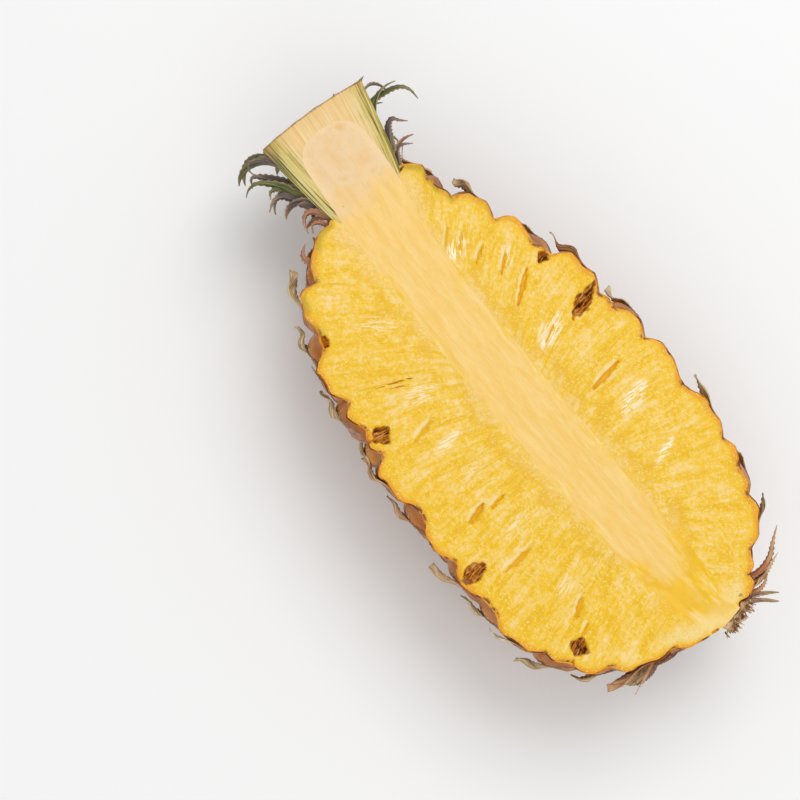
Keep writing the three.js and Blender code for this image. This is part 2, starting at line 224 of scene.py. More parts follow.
def eye_field(along, turn):
    """For points of the skin: the nearest eye, the way to the groove round it, and the height."""
    x = x_at(along)
    radius = mean_radius(x)
    first = np.full(along.shape, 1e9)
    second = np.full(along.shape, 1e9)
    nearest = np.zeros(along.shape, int)
    for n in EYE_N:
        distance = np.hypot(*from_eye(along, turn, radius, n))
        closer = distance < first
        second = np.where(closer, first, np.minimum(second, distance))
        first = np.where(closer, distance, first)
        nearest = np.where(closer, n, nearest)
    size = eye_size(radius)
    far = first / size
    groove = (second - first) / (2 * size)
    lean = (along - EYE_ALONG[nearest]) / size / EYE_PITCH
    pillow = np.sin(math.pi / 2 * np.clip(groove / GROOVE_REACH, 0, 1))
    pillow = pillow * (1 - ROUND_LOSS * smooth((far - ROUND_FROM) / ROUND_REACH))
    raised = EYE_RELIEF * (pillow * (1 + 0.5 * lean) - GROOVE_LEVEL)
    dish = RING_HEIGHT * bell(far, RING_AT, RING_REACH) - DENT_DEPTH * bell(far, 0, DENT_REACH)
    ends = smooth(along / BASE_FADE) * smooth((FRUIT_ALONG - along) / NECK_FADE)
    calm = 1 - CUT_CALM * np.cos(turn) ** 8 * smooth((CALM_FROM_X - x) / CALM_REACH)
    return {"eye": nearest, "groove": groove, "height": calm * ends * size * (raised + dish)}


def fruit_points(along, turn, offset):
    """Points of the fruit's smooth surface, moved out along its normal."""

    def at(a, t):
        x = x_at(np.clip(a, 0, FRUIT_ALONG))
        y = middle(x) + half_width(x) * np.cos(t)
        return np.stack([x, y, -depth(x) * np.sin(t)], axis=-1)

    forward = at(along + PROBE_MM, turn) - at(along - PROBE_MM, turn)
    round_ = at(along, turn + PROBE_TURN) - at(along, turn - PROBE_TURN)
    outward = np.cross(forward, round_)
    length = np.linalg.norm(outward, axis=-1, keepdims=True)
    outward = np.where(length > 1e-6, outward / np.maximum(length, 1e-6), np.array([-1.0, 0.0, 0.0]))
    return at(along, turn) + outward * np.asarray(offset)[..., None]


def draw(n, seed):
    """A seeded random draw between 0 and 1 for item n, always the same."""
    value = np.sin(n * 12.9898 + seed * 78.233) * 43758.5453
    return value - np.floor(value)


def value_noise(x, y, seed, scale=1.0):
    """Smooth noise about 0 at places of a plane."""
    places = zip(x * scale + seed * SEED_SHIFT, y * scale + seed * SEED_SHIFT)
    return np.array([noise.noise(Vector((u, v, seed))) for u, v in places])


print("relief of an eye:", EYE_RELIEF, "mm")

# %% [markdown]
# Every piece is built the same way: a bmesh operator makes a grid, the grid's points are moved onto the
# surface that they stand for, and the finished mesh is brought to its place. These few helpers keep
# the cells that follow short.

# %% Helpers for meshes
SHARP_ANGLE = math.radians(50)
MERGE_MM = 0.002


def sheet(bm, rows, columns):
    """A grid, with each vertex's place in it from 0 to 1, along its rows and across them."""
    verts = bmesh.ops.create_grid(bm, x_segments=rows, y_segments=columns, size=0.5, calc_uvs=True)["verts"]
    along = np.array([vert.co.x + 0.5 for vert in verts])
    across = np.array([vert.co.y + 0.5 for vert in verts])
    return verts, along, across


def put(verts, *axes):
    """Moves the points to the places that their X, Y and Z give."""
    for vert, point in zip(verts, np.stack(axes, axis=1)):
        vert.co = point


def new_mesh(uv_map, values):
    """An empty bmesh with its UV map and its point values, which have to be there before its points."""
    bm = bmesh.new()
    bm.loops.layers.uv.new(uv_map)
    for name in values:
        bm.verts.layers.float.new(name)
    return bm


def write_values(bm, verts, **values):
    """Writes point values by name. A single number goes to every point."""
    for name, value in values.items():
        layer = bm.verts.layers.float[name]
        for vert, number in zip(verts, np.broadcast_to(np.asarray(value, float), len(verts))):
            vert[layer] = number


def faces_of(verts):
    return {face for vert in verts for face in vert.link_faces}


def write_map(bm, verts, u, v, faces=None):
    """Writes the mesh's UV map, from the place in it of each vertex."""
    layer = bm.loops.layers.uv[0]
    place = dict(zip(verts, zip(u, v)))
    for face in faces or faces_of(verts):
        for loop in face.loops:
            loop[layer].uv = place[loop.vert]


def boundary(bm):
    return [edge for edge in bm.edges if edge.is_boundary]


def finish_piece(bm, name, materials, replaced=(), recalc=True):
    """Brings a mesh to its place, makes it an object of the model and hides the imported parts that it
    replaces.
    """
    if recalc:
        bmesh.ops.recalc_face_normals(bm, faces=bm.faces)
        for edge in bm.edges:
            edge.smooth = edge.calc_face_angle(0) < SHARP_ANGLE
    bmesh.ops.transform(bm, matrix=TO_MODEL, verts=bm.verts)
    mesh = bpy.data.meshes.new(name)
    bm.to_mesh(mesh)
    bm.free()
    for material in materials:
        mesh.materials.append(material)
    mesh.polygons.foreach_set("use_smooth", [True] * len(mesh.polygons))
    piece = bpy.data.objects.new(name, mesh)
    bpy.context.scene.collection.objects.link(piece)
    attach(piece, "root")
    if replaced:
        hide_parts(*replaced)
    triangles = sum(len(face.vertices) - 2 for face in mesh.polygons)
    print(name, "has", triangles, "triangles")
    return piece


# %% [markdown]
# A finish is a tree of shader nodes. It could be wired by hand in the shader editor, but a few short
# methods say the same in a line each: most add one node and return what it puts out, and paint lays
# coats of colour over each other, each through its own mask. Colours are linear, as the shader reads.

# %% Helpers for materials


class Tree:
    """A tree of shader nodes that is being built."""

    def __init__(self, tree):
        self.tree = tree

    def feed(self, node, inputs):
        """Links or sets the inputs of a node."""
        for key, value in inputs.items():
            if isinstance(value, bpy.types.NodeSocket):
                self.tree.links.new(value, node.inputs[key])
            else:
                node.inputs[key].default_value = value

    def add(self, kind, inputs=None, **settings):
        node = self.tree.nodes.new(kind)
        for name, value in settings.items():
            setattr(node, name, value)
        self.feed(node, inputs or {})
        return node

    def maths(self, operation, a, b):
        return self.add("ShaderNodeMath", {0: a, 1: b}, operation=operation).outputs[0]

    def times(self, first, *others):
        for value in others:
            first = self.maths("MULTIPLY", first, value)
        return first

    def plus(self, first, *others):
        for value in others:
            first = self.maths("ADD", first, value)
        return first

    def weigh(self, *parts):
        """Adds values up, each times its own weight."""
        return self.plus(*[self.times(value, weight) for value, weight in parts])

    def wander(self, value, by, reach):
        """Lets a value stray with a noise about 0.5, so that what it bounds gets an uneven edge."""
        return self.plus(value, self.times(self.maths("SUBTRACT", by, 0.5), reach))

    def span(self, value, low, high, to_low=0.0, to_high=1.0):
        """Maps a value from one range to another, smoothly and clamped."""
        inputs = {"Value": value, "From Min": low, "From Max": high, "To Min": to_low, "To Max": to_high}
        return self.add("ShaderNodeMapRange", inputs, interpolation_type="SMOOTHSTEP").outputs["Result"]

    def axis(self, vector, name):
        return self.add("ShaderNodeSeparateXYZ", {"Vector": vector}).outputs[name]

    def ramp(self, factor, positions, colours):
        node = self.add("ShaderNodeValToRGB", {"Fac": factor})
        elements = node.color_ramp.elements
        while len(elements) < len(positions):
            elements.new(0.5)
        for element, position, colour in zip(elements, positions, colours):
            element.position = position
            element.color = (*colour, 1)
        return node.outputs["Color"]

    def paint(self, colour, *coats):
        """Lays coats over a colour, each given as its mask and its own colour."""
        for mask, coat in coats:
            over = coat if isinstance(coat, bpy.types.NodeSocket) else (*coat, 1)
            under = colour if isinstance(colour, bpy.types.NodeSocket) else (*colour, 1)
            colour = self.add("ShaderNodeMix", {0: mask, 6: under, 7: over}, data_type="RGBA").outputs[2]
        return colour

    def group(self, tree, inputs):
        return self.add("ShaderNodeGroup", inputs, node_tree=tree).outputs[0]


class Finish(Tree):
    """A material that is being built, with what its finish reads from the piece."""

    def __init__(self, name, uv_map=None):
        self.material = bpy.data.materials.new(name)
        self.material.use_nodes = True
        super().__init__(self.material.node_tree)
        if uv_map:
            self.place = self.add("ShaderNodeUVMap", uv_map=uv_map).outputs[0]

    @cached_property
    def coords(self):
        return self.add("ShaderNodeTexCoord").outputs["Object"]

    def value(self, name):
        return self.add("ShaderNodeAttribute", attribute_name=name).outputs["Fac"]

    def noise(self, scale, detail):
        inputs = {"Vector": self.coords, "Scale": scale, "Detail": detail}
        return self.add("ShaderNodeTexNoise", inputs).outputs["Fac"]

    def fibres(self, across, along, detail):
        inputs = {"Vector": self.place, "Across": across, "Along": along, "Detail": detail}
        return self.group(FIBRES, inputs)

    def bump(self, height, distance, strength):
        inputs = {"Height": height, "Distance": distance, "Strength": strength}
        return self.add("ShaderNodeBump", inputs).outputs["Normal"]

    def surface(self, colour, roughness, others):
        """Gives the surface its colour and the rest, and returns the finished material."""
        inputs = {"Base Color": colour, "Roughness": roughness, **others}
        self.feed(self.tree.nodes["Principled BSDF"], inputs)
        return self.material


def new_group(name, inputs, output):
    """An empty node group, from the name and the kind of each socket."""
    tree = bpy.data.node_groups.new(name, "ShaderNodeTree")
    for socket, kind in inputs.items():
        tree.interface.new_socket(socket, in_out="INPUT", socket_type=kind)
    tree.interface.new_socket(output[0], in_out="OUTPUT", socket_type=output[1])
    return Tree(tree)


FLOAT = "NodeSocketFloat"
print("materials so far:", len(bpy.data.materials))

# %% [markdown]
# Fibres run through the flesh, the core, the bracts and the leaves. They are one effect: noise that is
# stretched along one direction. A shader node group holds it, with the stretch as its inputs, and each
# finish places the group with its own values.

# %% The fibre group


def make_fibre_group():
    inputs = {"Vector": "NodeSocketVector", "Across": FLOAT, "Along": FLOAT, "Detail": FLOAT}
    t = new_group("Fibres", inputs, ("Value", FLOAT))
    given = t.add("NodeGroupInput").outputs
    across = t.times(t.axis(given["Vector"], "X"), given["Across"])
    along = t.times(t.axis(given["Vector"], "Y"), given["Along"])
    stretched = t.add("ShaderNodeCombineXYZ", {"X": across, "Y": along}).outputs[0]
    inputs = {"Vector": stretched, "Scale": 1.0, "Detail": given["Detail"]}
    streaks = t.add("ShaderNodeTexNoise", {**inputs, "Roughness": 0.6, "Distortion": 0.5})
    t.add("NodeGroupOutput", {"Value": streaks.outputs["Fac"]})
    return t.tree


FIBRES = make_fibre_group()
print("node groups:", [group.name for group in bpy.data.node_groups])

# %% [markdown]
# The camera looks down on the half from its lower left side, a little off the upright, as the photo shows
# its cut face. The picture's upper left is the crown, so the camera is turned about its own axis.
# It could also be placed by hand, but a target, a tilt and an up direction say what it does.

# %% Camera
VIEW_TARGET = Vector((34.9, 36.7, 0))
VIEW_TILT = math.radians(11)
VIEW_TILT_TOWARDS = math.radians(105)
VIEW_UP = Vector((0.7924, -0.61, 0))
VIEW_DISTANCE = 0.79
VIEW_LENS = 100

back = Vector((
    math.sin(VIEW_TILT) * math.cos(VIEW_TILT_TOWARDS),
    math.sin(VIEW_TILT) * math.sin(VIEW_TILT_TOWARDS),
    math.cos(VIEW_TILT),
))
right = VIEW_UP.cross(back).normalized()
axes = Matrix((right, back.cross(right), back)).transposed()
camera_data = bpy.data.cameras.new("camera")
camera_data.lens = VIEW_LENS
camera = bpy.data.objects.new("camera", camera_data)
camera.matrix_world = Matrix.Translation(TO_MODEL @ VIEW_TARGET + back * VIEW_DISTANCE) @ axes.to_4x4()
bpy.context.scene.collection.objects.link(camera)
bpy.context.scene.camera = camera
print("camera", round(math.degrees(VIEW_TILT)), "degrees off the upright")

# %% [markdown]
# The floor is a plain pale sheet, and the light is soft: one large lamp high on the crown's side, a
# weaker one opposite, and an even white surround, as in a small product studio. Blender's default view
# turns bright, saturated colours pale, so the plain Standard view shows them as they are set.

# %% Floor and light
FLOOR_HALF_M = 3
SURROUND_STRENGTH = 0.63


def make_floor():
    bm = bmesh.new()
    bmesh.ops.create_grid(bm, x_segments=1, y_segments=1, size=FLOOR_HALF_M)
    mesh = bpy.data.meshes.new("floor")
    bm.to_mesh(mesh)
    bm.free()
    mesh.materials.append(Finish("pale floor").surface((0.93, 0.93, 0.93, 1), 0.9, {}))
    floor = bpy.data.objects.new("floor", mesh)
    bpy.context.scene.collection.objects.link(floor)


def make_light(name, place, size, power):
    data = bpy.data.lights.new(name, "AREA")
    data.shape = "DISK"
    data.size = size
    data.energy = power
    light = bpy.data.objects.new(name, data)
    light.location = place
    light.rotation_euler = (-Vector(place)).to_track_quat("-Z", "Y").to_euler()
    bpy.context.scene.collection.objects.link(light)


make_floor()
make_light("key", (0.35, -0.6, 1.2), 1.0, 6.6)
make_light("fill", (-0.7, 0.5, 1.0), 1.4, 3.4)
world = bpy.data.worlds.new("surround")
world.use_nodes = True
world.node_tree.nodes["Background"].inputs["Color"].default_value = (1, 1, 1, 1)
world.node_tree.nodes["Background"].inputs["Strength"].default_value = SURROUND_STRENGTH
bpy.context.scene.world = world
bpy.context.scene.view_settings.view_transform = "Standard"
print("lights:", [data.name for data in bpy.data.lights])

# %% [markdown]
# The rind's finish follows each eye. The mesh carries a map of every face's place on its own eye, so the
# shader can paint a speckled pinkish disc in the middle, a glossy orange pillow round it with a painted
# highlight on its crown side and painted shade towards its groove and corners, and a dark line in the
# groove, sharper than the mesh's own points could.

# %% Rind finish
EYE_MAP_MM = 40.0
PILLOW_ORANGES = [(0.52, 0.14, 0.003), (0.72, 0.25, 0.004), (0.80, 0.33, 0.008)]
PILLOW_RED = (0.50, 0.13, 0.004)
# painted highlight: the crown side of each eye's pillow is painted lighter
PILLOW_PAINTED_HIGHLIGHT = (0.84, 0.34, 0.008)
DISC_DARK = (0.26, 0.06, 0.02)
DISC_PINK = (0.68, 0.38, 0.22)
BASE_TAN = (0.36, 0.15, 0.07)
# browner patches on the skin just below the cut
BROWN_BELOW_CUT = (0.25, 0.08, 0.02)
GROOVE_OLIVE = (0.20, 0.14, 0.01)
# partly the groove's own red-brown, partly painted shade: darker towards the groove and the eye's corners
GROOVE_RED_AND_SHADE = (0.40, 0.10, 0.003)
GROOVE_DARK = (0.10, 0.03, 0.006)
CUT_SKIN_COLOURS = [(0.12, 0.03, 0.006), (0.60, 0.21, 0.004), (0.84, 0.38, 0.005)]


def make_rind_material():
    f = Finish("rind", "Eye")
    centred = f.add("ShaderNodeVectorMath", {0: f.place, 1: (0.5, 0.5, 0)}, operation="SUBTRACT").outputs[0]
    local = f.add("ShaderNodeVectorMath", {0: centred, 3: EYE_MAP_MM}, operation="SCALE").outputs[0]
    far = f.add("ShaderNodeVectorMath", {0: local}, operation="LENGTH").outputs["Value"]
    up = f.axis(local, "Y")
    groove = f.value("groove")
    coarse = f.noise(90.0, 4.0)
    fine = f.noise(900.0, 3.0)
    disc = f.times(f.span(far, 6.6, 9.4, 1.0, 0.0), f.span(fine, 0.40, 0.60, 0.25, 0.95))
    pink = f.paint(DISC_DARK, (f.span(fine, 0.42, 0.56), DISC_PINK))
    low = f.times(f.span(up, -3.0, -8.0, 0.0, 0.7), f.span(coarse, 0.4, 0.6, 0.2, 1.0))
    beside_cut = f.span(f.axis(f.coords, "Z"), 0.040, 0.0495, 0.0, 0.8)
    # painted shade, partly the groove's own colour: it rounds each pillow by darkening it towards its groove
    # and corners
    groove_and_corner_shade = f.maths("MAXIMUM", f.span(groove, 3.0, 0.6, 0.0, 0.7), f.span(far, 9.0, 12.5, 0.0, 0.7))
    colour = f.paint(
        f.ramp(coarse, (0.3, 0.5, 0.68), PILLOW_ORANGES),
        (f.span(f.value("tone"), 0.0, 1.0, 0.0, 0.45), PILLOW_RED),
        # painted highlight on the crown side of each pillow
        (f.span(up, 2.0, 9.0, 0.0, 0.55), PILLOW_PAINTED_HIGHLIGHT),
        (disc, pink),
        (low, BASE_TAN),
        # browner in patches on the skin just below the cut
        (f.times(beside_cut, f.span(coarse, 0.4, 0.6, 0.45, 1.0)), BROWN_BELOW_CUT),
        (f.times(f.span(groove, 2.4, 0.9), f.span(coarse, 0.5, 0.62)), GROOVE_OLIVE),
        # painted shade towards the groove and the corners, partly the groove's own red-brown
        (groove_and_corner_shade, GROOVE_RED_AND_SHADE),
        (f.span(groove, 0.7, 0.1, 0.0, 0.85), GROOVE_DARK),
    )
    rough = f.maths("MAXIMUM", f.span(disc, 0.0, 1.0, 0.28, 0.62), f.span(low, 0.0, 1.0, 0.28, 0.6))
    grain = f.plus(f.times(fine, f.plus(disc, 0.25)), coarse)
    others = {"Specular IOR Level": 0.3, "Coat Weight": 0.06, "Coat Roughness": 0.2}
    return f.surface(colour, rough, {"Normal": f.bump(grain, 0.0006, 0.7), **others})


def make_cut_skin_material():
    f = Finish("cut skin")
    patches = f.noise(160.0, 3.0)
    colour = f.ramp(patches, (0.42, 0.50, 0.62), CUT_SKIN_COLOURS)
    others = {"Normal": f.bump(patches, 0.0004, 1.0), "Specular IOR Level": 0.2}
    return f.surface(colour, f.span(patches, 0.3, 0.7, 0.5, 0.3), others)


RIND = make_rind_material()
CUT_SKIN = make_cut_skin_material()
print("finishes:", RIND.name, CUT_SKIN.name)

# %% [markdown]
# The rind is a bowl with the eyes raised from it. A grid wraps round the half body, its points move out by
# the relief, and both ends close at a point. The open top is filled, inset for the cut edge of the
# skin, and pushed down to leave a recess for the flesh.

# %% Rind
SKIN_ROWS = 258
SKIN_COLUMNS = 172
NECK_CAP_SHARE = 0.985
CUT_EDGE = 0.9
RECESS = 6
WALL_TAPER_X = 0.03
WALL_TAPER_Y = 0.1


def draw_in(vert, depth_mm):
    """Takes a point of the cut's outline down and inwards, so that the wall stays inside the skin."""
    centre = float(middle(vert.co.x))
    y = centre + (vert.co.y - centre) * (1 - WALL_TAPER_Y)
    vert.co = (vert.co.x * (1 - WALL_TAPER_X), y, -depth_mm)


def skin_along(share):
    return np.clip(share / NECK_CAP_SHARE, 0, 1) * FRUIT_ALONG


def put_skin(verts, share, side, height):
    """Moves the grid onto the relief, then in to the axis at the neck."""
    points = fruit_points(skin_along(share), math.pi * side, height)
    shrink = np.clip((1 - share) / (1 - NECK_CAP_SHARE), 0, 1)
    points[:, 1:] *= shrink[:, None]
    at_cut = (side < 1e-6) | (side > 1 - 1e-6)
    put(verts, points[:, 0], points[:, 1], np.where(at_cut, 0, np.clip(points[:, 2], -FLOOR_DEPTH, 0)))


def write_eye_map(bm, share, side):
    """Gives each face's corners their place on the eye that the middle of the face is on."""
    layer = bm.loops.layers.uv["Eye"]
    faces = list(bm.faces)
    corners = [[vert.index for vert in face.verts] for face in faces]
    eyes = eye_field(skin_along(share[corners].mean(axis=1)), math.pi * side[corners].mean(axis=1))["eye"]
    along = skin_along(share)
    radius = mean_radius(x_at(along))
    up, across = from_eye(along[corners], math.pi * side[corners], radius[corners], eyes[:, None])
    local = np.stack([across, up], axis=-1) / EYE_SIZE[eyes][:, None, None]
    for face, places in zip(faces, 0.5 + local / EYE_MAP_MM):
        for loop, place in zip(face.loops, places):
            loop[layer].uv = place


def make_rind():
    bm = new_mesh("Eye", ["groove", "tone"])
    verts, share, side = sheet(bm, SKIN_ROWS, SKIN_COLUMNS)
    write_eye_map(bm, share, side)
    field = eye_field(skin_along(share), math.pi * side)
    write_values(bm, verts, groove=field["groove"], tone=draw(field["eye"], 21))
    put_skin(verts, share, side, field["height"])
    bmesh.ops.remove_doubles(bm, verts=bm.verts, dist=MERGE_MM)
    top = bmesh.ops.holes_fill(bm, edges=boundary(bm), sides=0)["faces"]
    rim = bmesh.ops.inset_region(bm, faces=top, thickness=CUT_EDGE)["faces"]
    for face in rim:
        face.material_index = 1
    floor = bmesh.ops.extrude_discrete_faces(bm, faces=top)["faces"]
    for face in floor:
        face.material_index = 1
        for vert in face.verts:
            draw_in(vert, RECESS)
    finish_piece(bm, "rind_skin", [RIND, CUT_SKIN], ["rind"])


make_rind()

# %% [markdown]
# The fruit grows round one pale stem. It swells at the neck and ends in a rounded heart inside the
# crown, where the young leaves start. A few stations give its middle and its radius, and an average
# over a short stretch eases the line between them.

# %% The line of the stem
CROWN_START_X = 98.5
CROWN_END_X = 136.5
CROWN_START_R = 14.6
CROWN_END_R = 22.4
CROWN_FLARE = 0.75
CROWN_START_Y = 1.2
CROWN_SIDESTEP = 2.3
HEART_DOME_X = 118
HEART_END_X = 130.6
HEART_CURVE = (2.4, 2.4)
STEM_BASE_X = -99.3
STEM_X = [-99.5, -92, -60, -10, 45, 82, 97, 110, 121, 140]
STEM_R = [7.0, 8.6, 11.3, 12, 11.6, 11.8, 13.4, 13.4, 13.2, 13]
STEM_Y = [-8.5, -7, -3, 0.4, 2.6, 2.2, 0.8, 0.2, 0, -0.2]
EASE_SHIFTS = np.linspace(-6, 6, 9)


def eased(x, values):
    return np.mean([np.interp(x + shift, STEM_X, values) for shift in EASE_SHIFTS], axis=0)


def stem_middle(x):
    return eased(x, STEM_Y)


def stem_radius(x):
    past = np.clip((x - HEART_DOME_X) / (HEART_END_X - HEART_DOME_X), 0, 1)
    return eased(x, STEM_R) * superellipse(past, HEART_CURVE)


def crown_share(x):
    return np.clip((x - CROWN_START_X) / (CROWN_END_X - CROWN_START_X), 0, 1)


def crown_radius(x):
    return CROWN_START_R + (CROWN_END_R - CROWN_START_R) * crown_share(x) ** CROWN_FLARE


def crown_middle(x):
    return CROWN_START_Y - CROWN_SIDESTEP * crown_share(x)


print("stem radius at the neck:", stem_radius(97.0).round(1), "mm, at the base:", stem_radius(-92.0).round(1))

# %% [markdown]
# The knife opened slits between the fruitlets and cut through a few seed pits near the rind. Each mark is
# one line of numbers: where it starts, where it ends, how wide and how deep it is. A taper to both
# ends and a little noise on its edge keep it from looking stamped.

# %% Slits and pits in the cut face
SLITS = [
    (-1.1, -36.7, -3.8, -21.5, 2.2, 2.2),
    (46.5, -31.0, 36.5, -18.5, 1.9, 2.0),
    (55.0, -27.5, 49.0, -20.5, 1.4, 1.4),
    (62.5, -23.5, 57.5, -15.0, 1.2, 1.2),
    (-12.2, 35.0, -15.4, 44.4, 2.6, 2.4),
    (-14.2, 27.5, -15.5, 34.6, 1.4, 1.6),
    (-59.0, 26.0, -64.8, 34.8, 2.2, 2.0),
    (-34.6, 29.5, -36.6, 46.0, 2.0, 1.4),
    (22.5, 31.0, 19.6, 42.5, 1.8, 1.0),
    (23.8, -26.0, 19.5, -17.5, 1.2, 0.8),
    (-68.0, 30.5, -71.0, 36.5, 1.3, 1.4),
    (72.0, -21.0, 64.5, -13.0, 1.2, 0.8),
    (76.0, -17.0, 68.0, -9.5, 1.0, 0.6),
]
PITS = [
    (44.8, -34.6, 46.4, -39.6, 4.4, 2.6),
    (27.2, -47.2, 20.6, -31.6, 6.2, 3.0),
    (69.6, 43.8, 65.8, 48.4, 4.4, 2.4),
    (29.8, 45.8, 28.0, 53.4, 7.4, 3.0),
    (-29.2, 47.2, -30.6, 59.4, 6.8, 3.0),
    (-71.4, 35.8, -74.4, 42.8, 7.4, 3.0),
]
LINES = [
    (28.4, 51.0, 30.6, 58.6, 1.1, 0.8),
    (-30.4, 57.0, -32.4, 62.5, 1.2, 0.8),
    (-74.2, 41.0, -78.6, 50.2, 1.2, 0.8),
    (38.2, 27.0, 43.6, 41.8, 0.6, 0.5),
    (36.5, 28.5, 41.0, 38.5, 0.4, 0.3),
    (45.4, -39.0, 43.4, -41.8, 0.7, 0.5),
]
# Painted highlights: whitish streaks where the light glints on the wet juice, partly the pale wet pulp
# itself.
GLINTS = [
    (70.0, -19.5, 63.5, -8.5, 7.0, 1.4),
    (27.0, -30.0, 18.0, -15.5, 9.0, 1.2),
    (-12.5, -40.0, -17.0, -24.0, 8.0, 1.3),
    (-34.5, -35.5, -39.5, -22.5, 3.8, 1.4),
    (31.0, 21.0, 33.5, 37.0, 9.0, 0.7),
    (3.0, 20.0, -3.0, 38.0, 7.0, 0.5),
    (59.0, -33.0, 48.0, -21.0, 6.0, 0.8),
    (-50.0, 22.0, -55.0, 36.0, 6.0, 0.5),
    (56.0, 18.0, 65.0, 34.0, 7.0, 0.6),
    (14.0, 24.0, 12.0, 40.0, 6.0, 0.6),
    (-23.0, 22.0, -27.0, 38.0, 6.0, 0.5),
]
LENS = ([0, 0.15, 0.4, 0.6, 0.85, 1], [0, 0.55, 0.95, 1, 0.6, 0])
KITE = ([0, 0.2, 0.5, 0.65, 0.8, 1], [0, 0.5, 1, 0.95, 0.5, 0])
# The painted light on one wall of each slit: the slit's mark moved to its lit side.
LIT_WALL_SHIFT = -1.5


def marks_at(x, y, marks, wobble, taper=LENS, fade=0.25):
    """How far inside a mark each point is, from 0 to 1, and the depth of the mark there."""
    inside = np.zeros(len(x))
    deep = np.zeros(len(x))
    for x0, y0, x1, y1, width, depth_mm in marks:
        line = np.array([x1 - x0, y1 - y0])
        length = np.hypot(*line)
        t = ((x - x0) * line[0] + (y - y0) * line[1]) / length**2
        off = ((x - x0) * line[1] - (y - y0) * line[0]) / length
        half = width / 2 * np.interp(t, *taper) + wobble * 0.35 * min(width, 3)
        edge = smooth((half - np.abs(off)) / (fade * width) + 0.3) * (t > 0) * (t < 1)
        inside = np.maximum(inside, edge)
        deep = np.maximum(deep, edge * depth_mm)
    return inside, deep


print(len(SLITS), "slits,", len(PITS), "pits")

# %% [markdown]
# Some of the face's tones belong to a place: the flesh is pale in a band along the base, where the stalk
# went in, and ripest beside it, in a cloud across the base and a spot at the stem's edge. The stem's
# edge fades out towards the base and spreads at the neck. Short formulas place them on the mesh.

# %% Tones at the base


def stem_shift(x):
    return 12 * smooth((-56 - x) / 26) - 6 * smooth((x - 66) / 24)


def base_cream(x, y):
    return smooth((10 - (x - base_edge(y))) / 7) * smooth((24 - np.abs(y + 3)) / 8)


def base_smear(x, y):
    cloud = np.exp(-(((x + 81) / 6) ** 2) - (((y - 3) / 9.5) ** 4))
    spot = np.exp(-(((x + 64) ** 2 + (y + 14.3) ** 2) / 7))
    return np.maximum(cloud, spot)


print("rim of the base at its middle:", round(float(base_edge(0.0)), 1), "mm")

# %% [markdown]
# The cut face is one wet surface, though the stem and the flesh round it are two pieces. One group of
# nodes colours both, from the distance to the edge of the stem, so no seam shows between them: the
# flesh is mottled yellow, deepest beside the stem, and the stem pale with faint streaks.

# %% The cut face's colours
FLESH_DEEP = (0.85, 0.49, 0.002)
FLESH_GOLD = (0.89, 0.54, 0.004)
FLESH_MID = (0.92, 0.58, 0.045)
FLESH_PALE = (0.93, 0.62, 0.125)
FLESH_CREAM = (0.95, 0.70, 0.29)
STEM_PALE = (0.90, 0.57, 0.13)
STEM_CREAM = (0.92, 0.64, 0.22)
RIM_ORANGE = (0.84, 0.37, 0.003)
BASE_CREAM = (0.93, 0.69, 0.25)
BASE_SMEAR = (0.90, 0.53, 0.02)


def make_cut_face_group():
    names = ("Stem", "Rim", "Base", "Smear", "Mottle", "Fibre")
    t = new_group("Cut face", {name: FLOAT for name in names}, ("Color", "NodeSocketColor"))
    given = t.add("NodeGroupInput").outputs
    mottle = given["Mottle"]
    fibre = given["Fibre"]
    blend = t.maths("SUBTRACT", t.weigh((mottle, 0.4), (fibre, 1.35)), 0.375)
    tones = [FLESH_DEEP, FLESH_GOLD, FLESH_MID, FLESH_PALE, FLESH_CREAM]
    edge = t.wander(given["Stem"], mottle, 26.0)
    beside = t.times(t.span(edge, -0.5, 2.5), t.span(edge, 11.0, 4.0))
    near_rim = t.wander(given["Rim"], mottle, 5.0)
    colour = t.paint(
        t.ramp(blend, (0.37, 0.44, 0.5, 0.57, 0.67), tones),
        (t.times(beside, t.span(mottle, 0.42, 0.58, 0.9, 0.1)), FLESH_DEEP),
        (t.span(edge, 5.5, -5.0), t.ramp(fibre, (0.4, 0.62), [STEM_PALE, STEM_CREAM])),
        (t.times(given["Smear"], t.span(mottle, 0.36, 0.5, 0.3, 1.0)), BASE_SMEAR),
        (t.times(given["Base"], t.span(mottle, 0.36, 0.5, 0.4, 1.0)), BASE_CREAM),
        (t.span(near_rim, 5.5, 1.8, 0.0, 0.8), FLESH_GOLD),
        (t.span(near_rim, 2.4, 0.5), RIM_ORANGE),
    )
    t.add("NodeGroupOutput", {"Color": colour})
    return t.tree


CUT_FACE = make_cut_face_group()


def cut_face_colour(f, mottle, fibre, rim):
    """Places the group in a finish, with what the piece's own points say."""
    inputs = {name: f.value(name.lower()) for name in ("Stem", "Base", "Smear")}
    return f.group(CUT_FACE, {**inputs, "Rim": rim, "Mottle": mottle, "Fibre": fibre})


print("node groups:", [group.name for group in bpy.data.node_groups])

# %% [markdown]
# The flesh adds to those colours what only it has: pale and deep specks, the olive rim towards the neck,
# wet streaks with painted highlights on them, the slits with painted light on one wall, and the brown
# pits. The stem adds the pinkish cream of the crown's heart. Both let a little light in, and both are
# wet, with a weak glossy coat.

# %% Finishes of the cut face
SPECK_PALE = (0.96, 0.74, 0.30)
SPECK_DEEP = (0.86, 0.48, 0.004)
NOTCH_BROWN = (0.20, 0.06, 0.008)
UNRIPE_OLIVE = (0.50, 0.35, 0.005)
# painted highlight on the wet streaks, partly the pale wet pulp itself
GLINT_WHITE = (1.0, 0.92, 0.70)
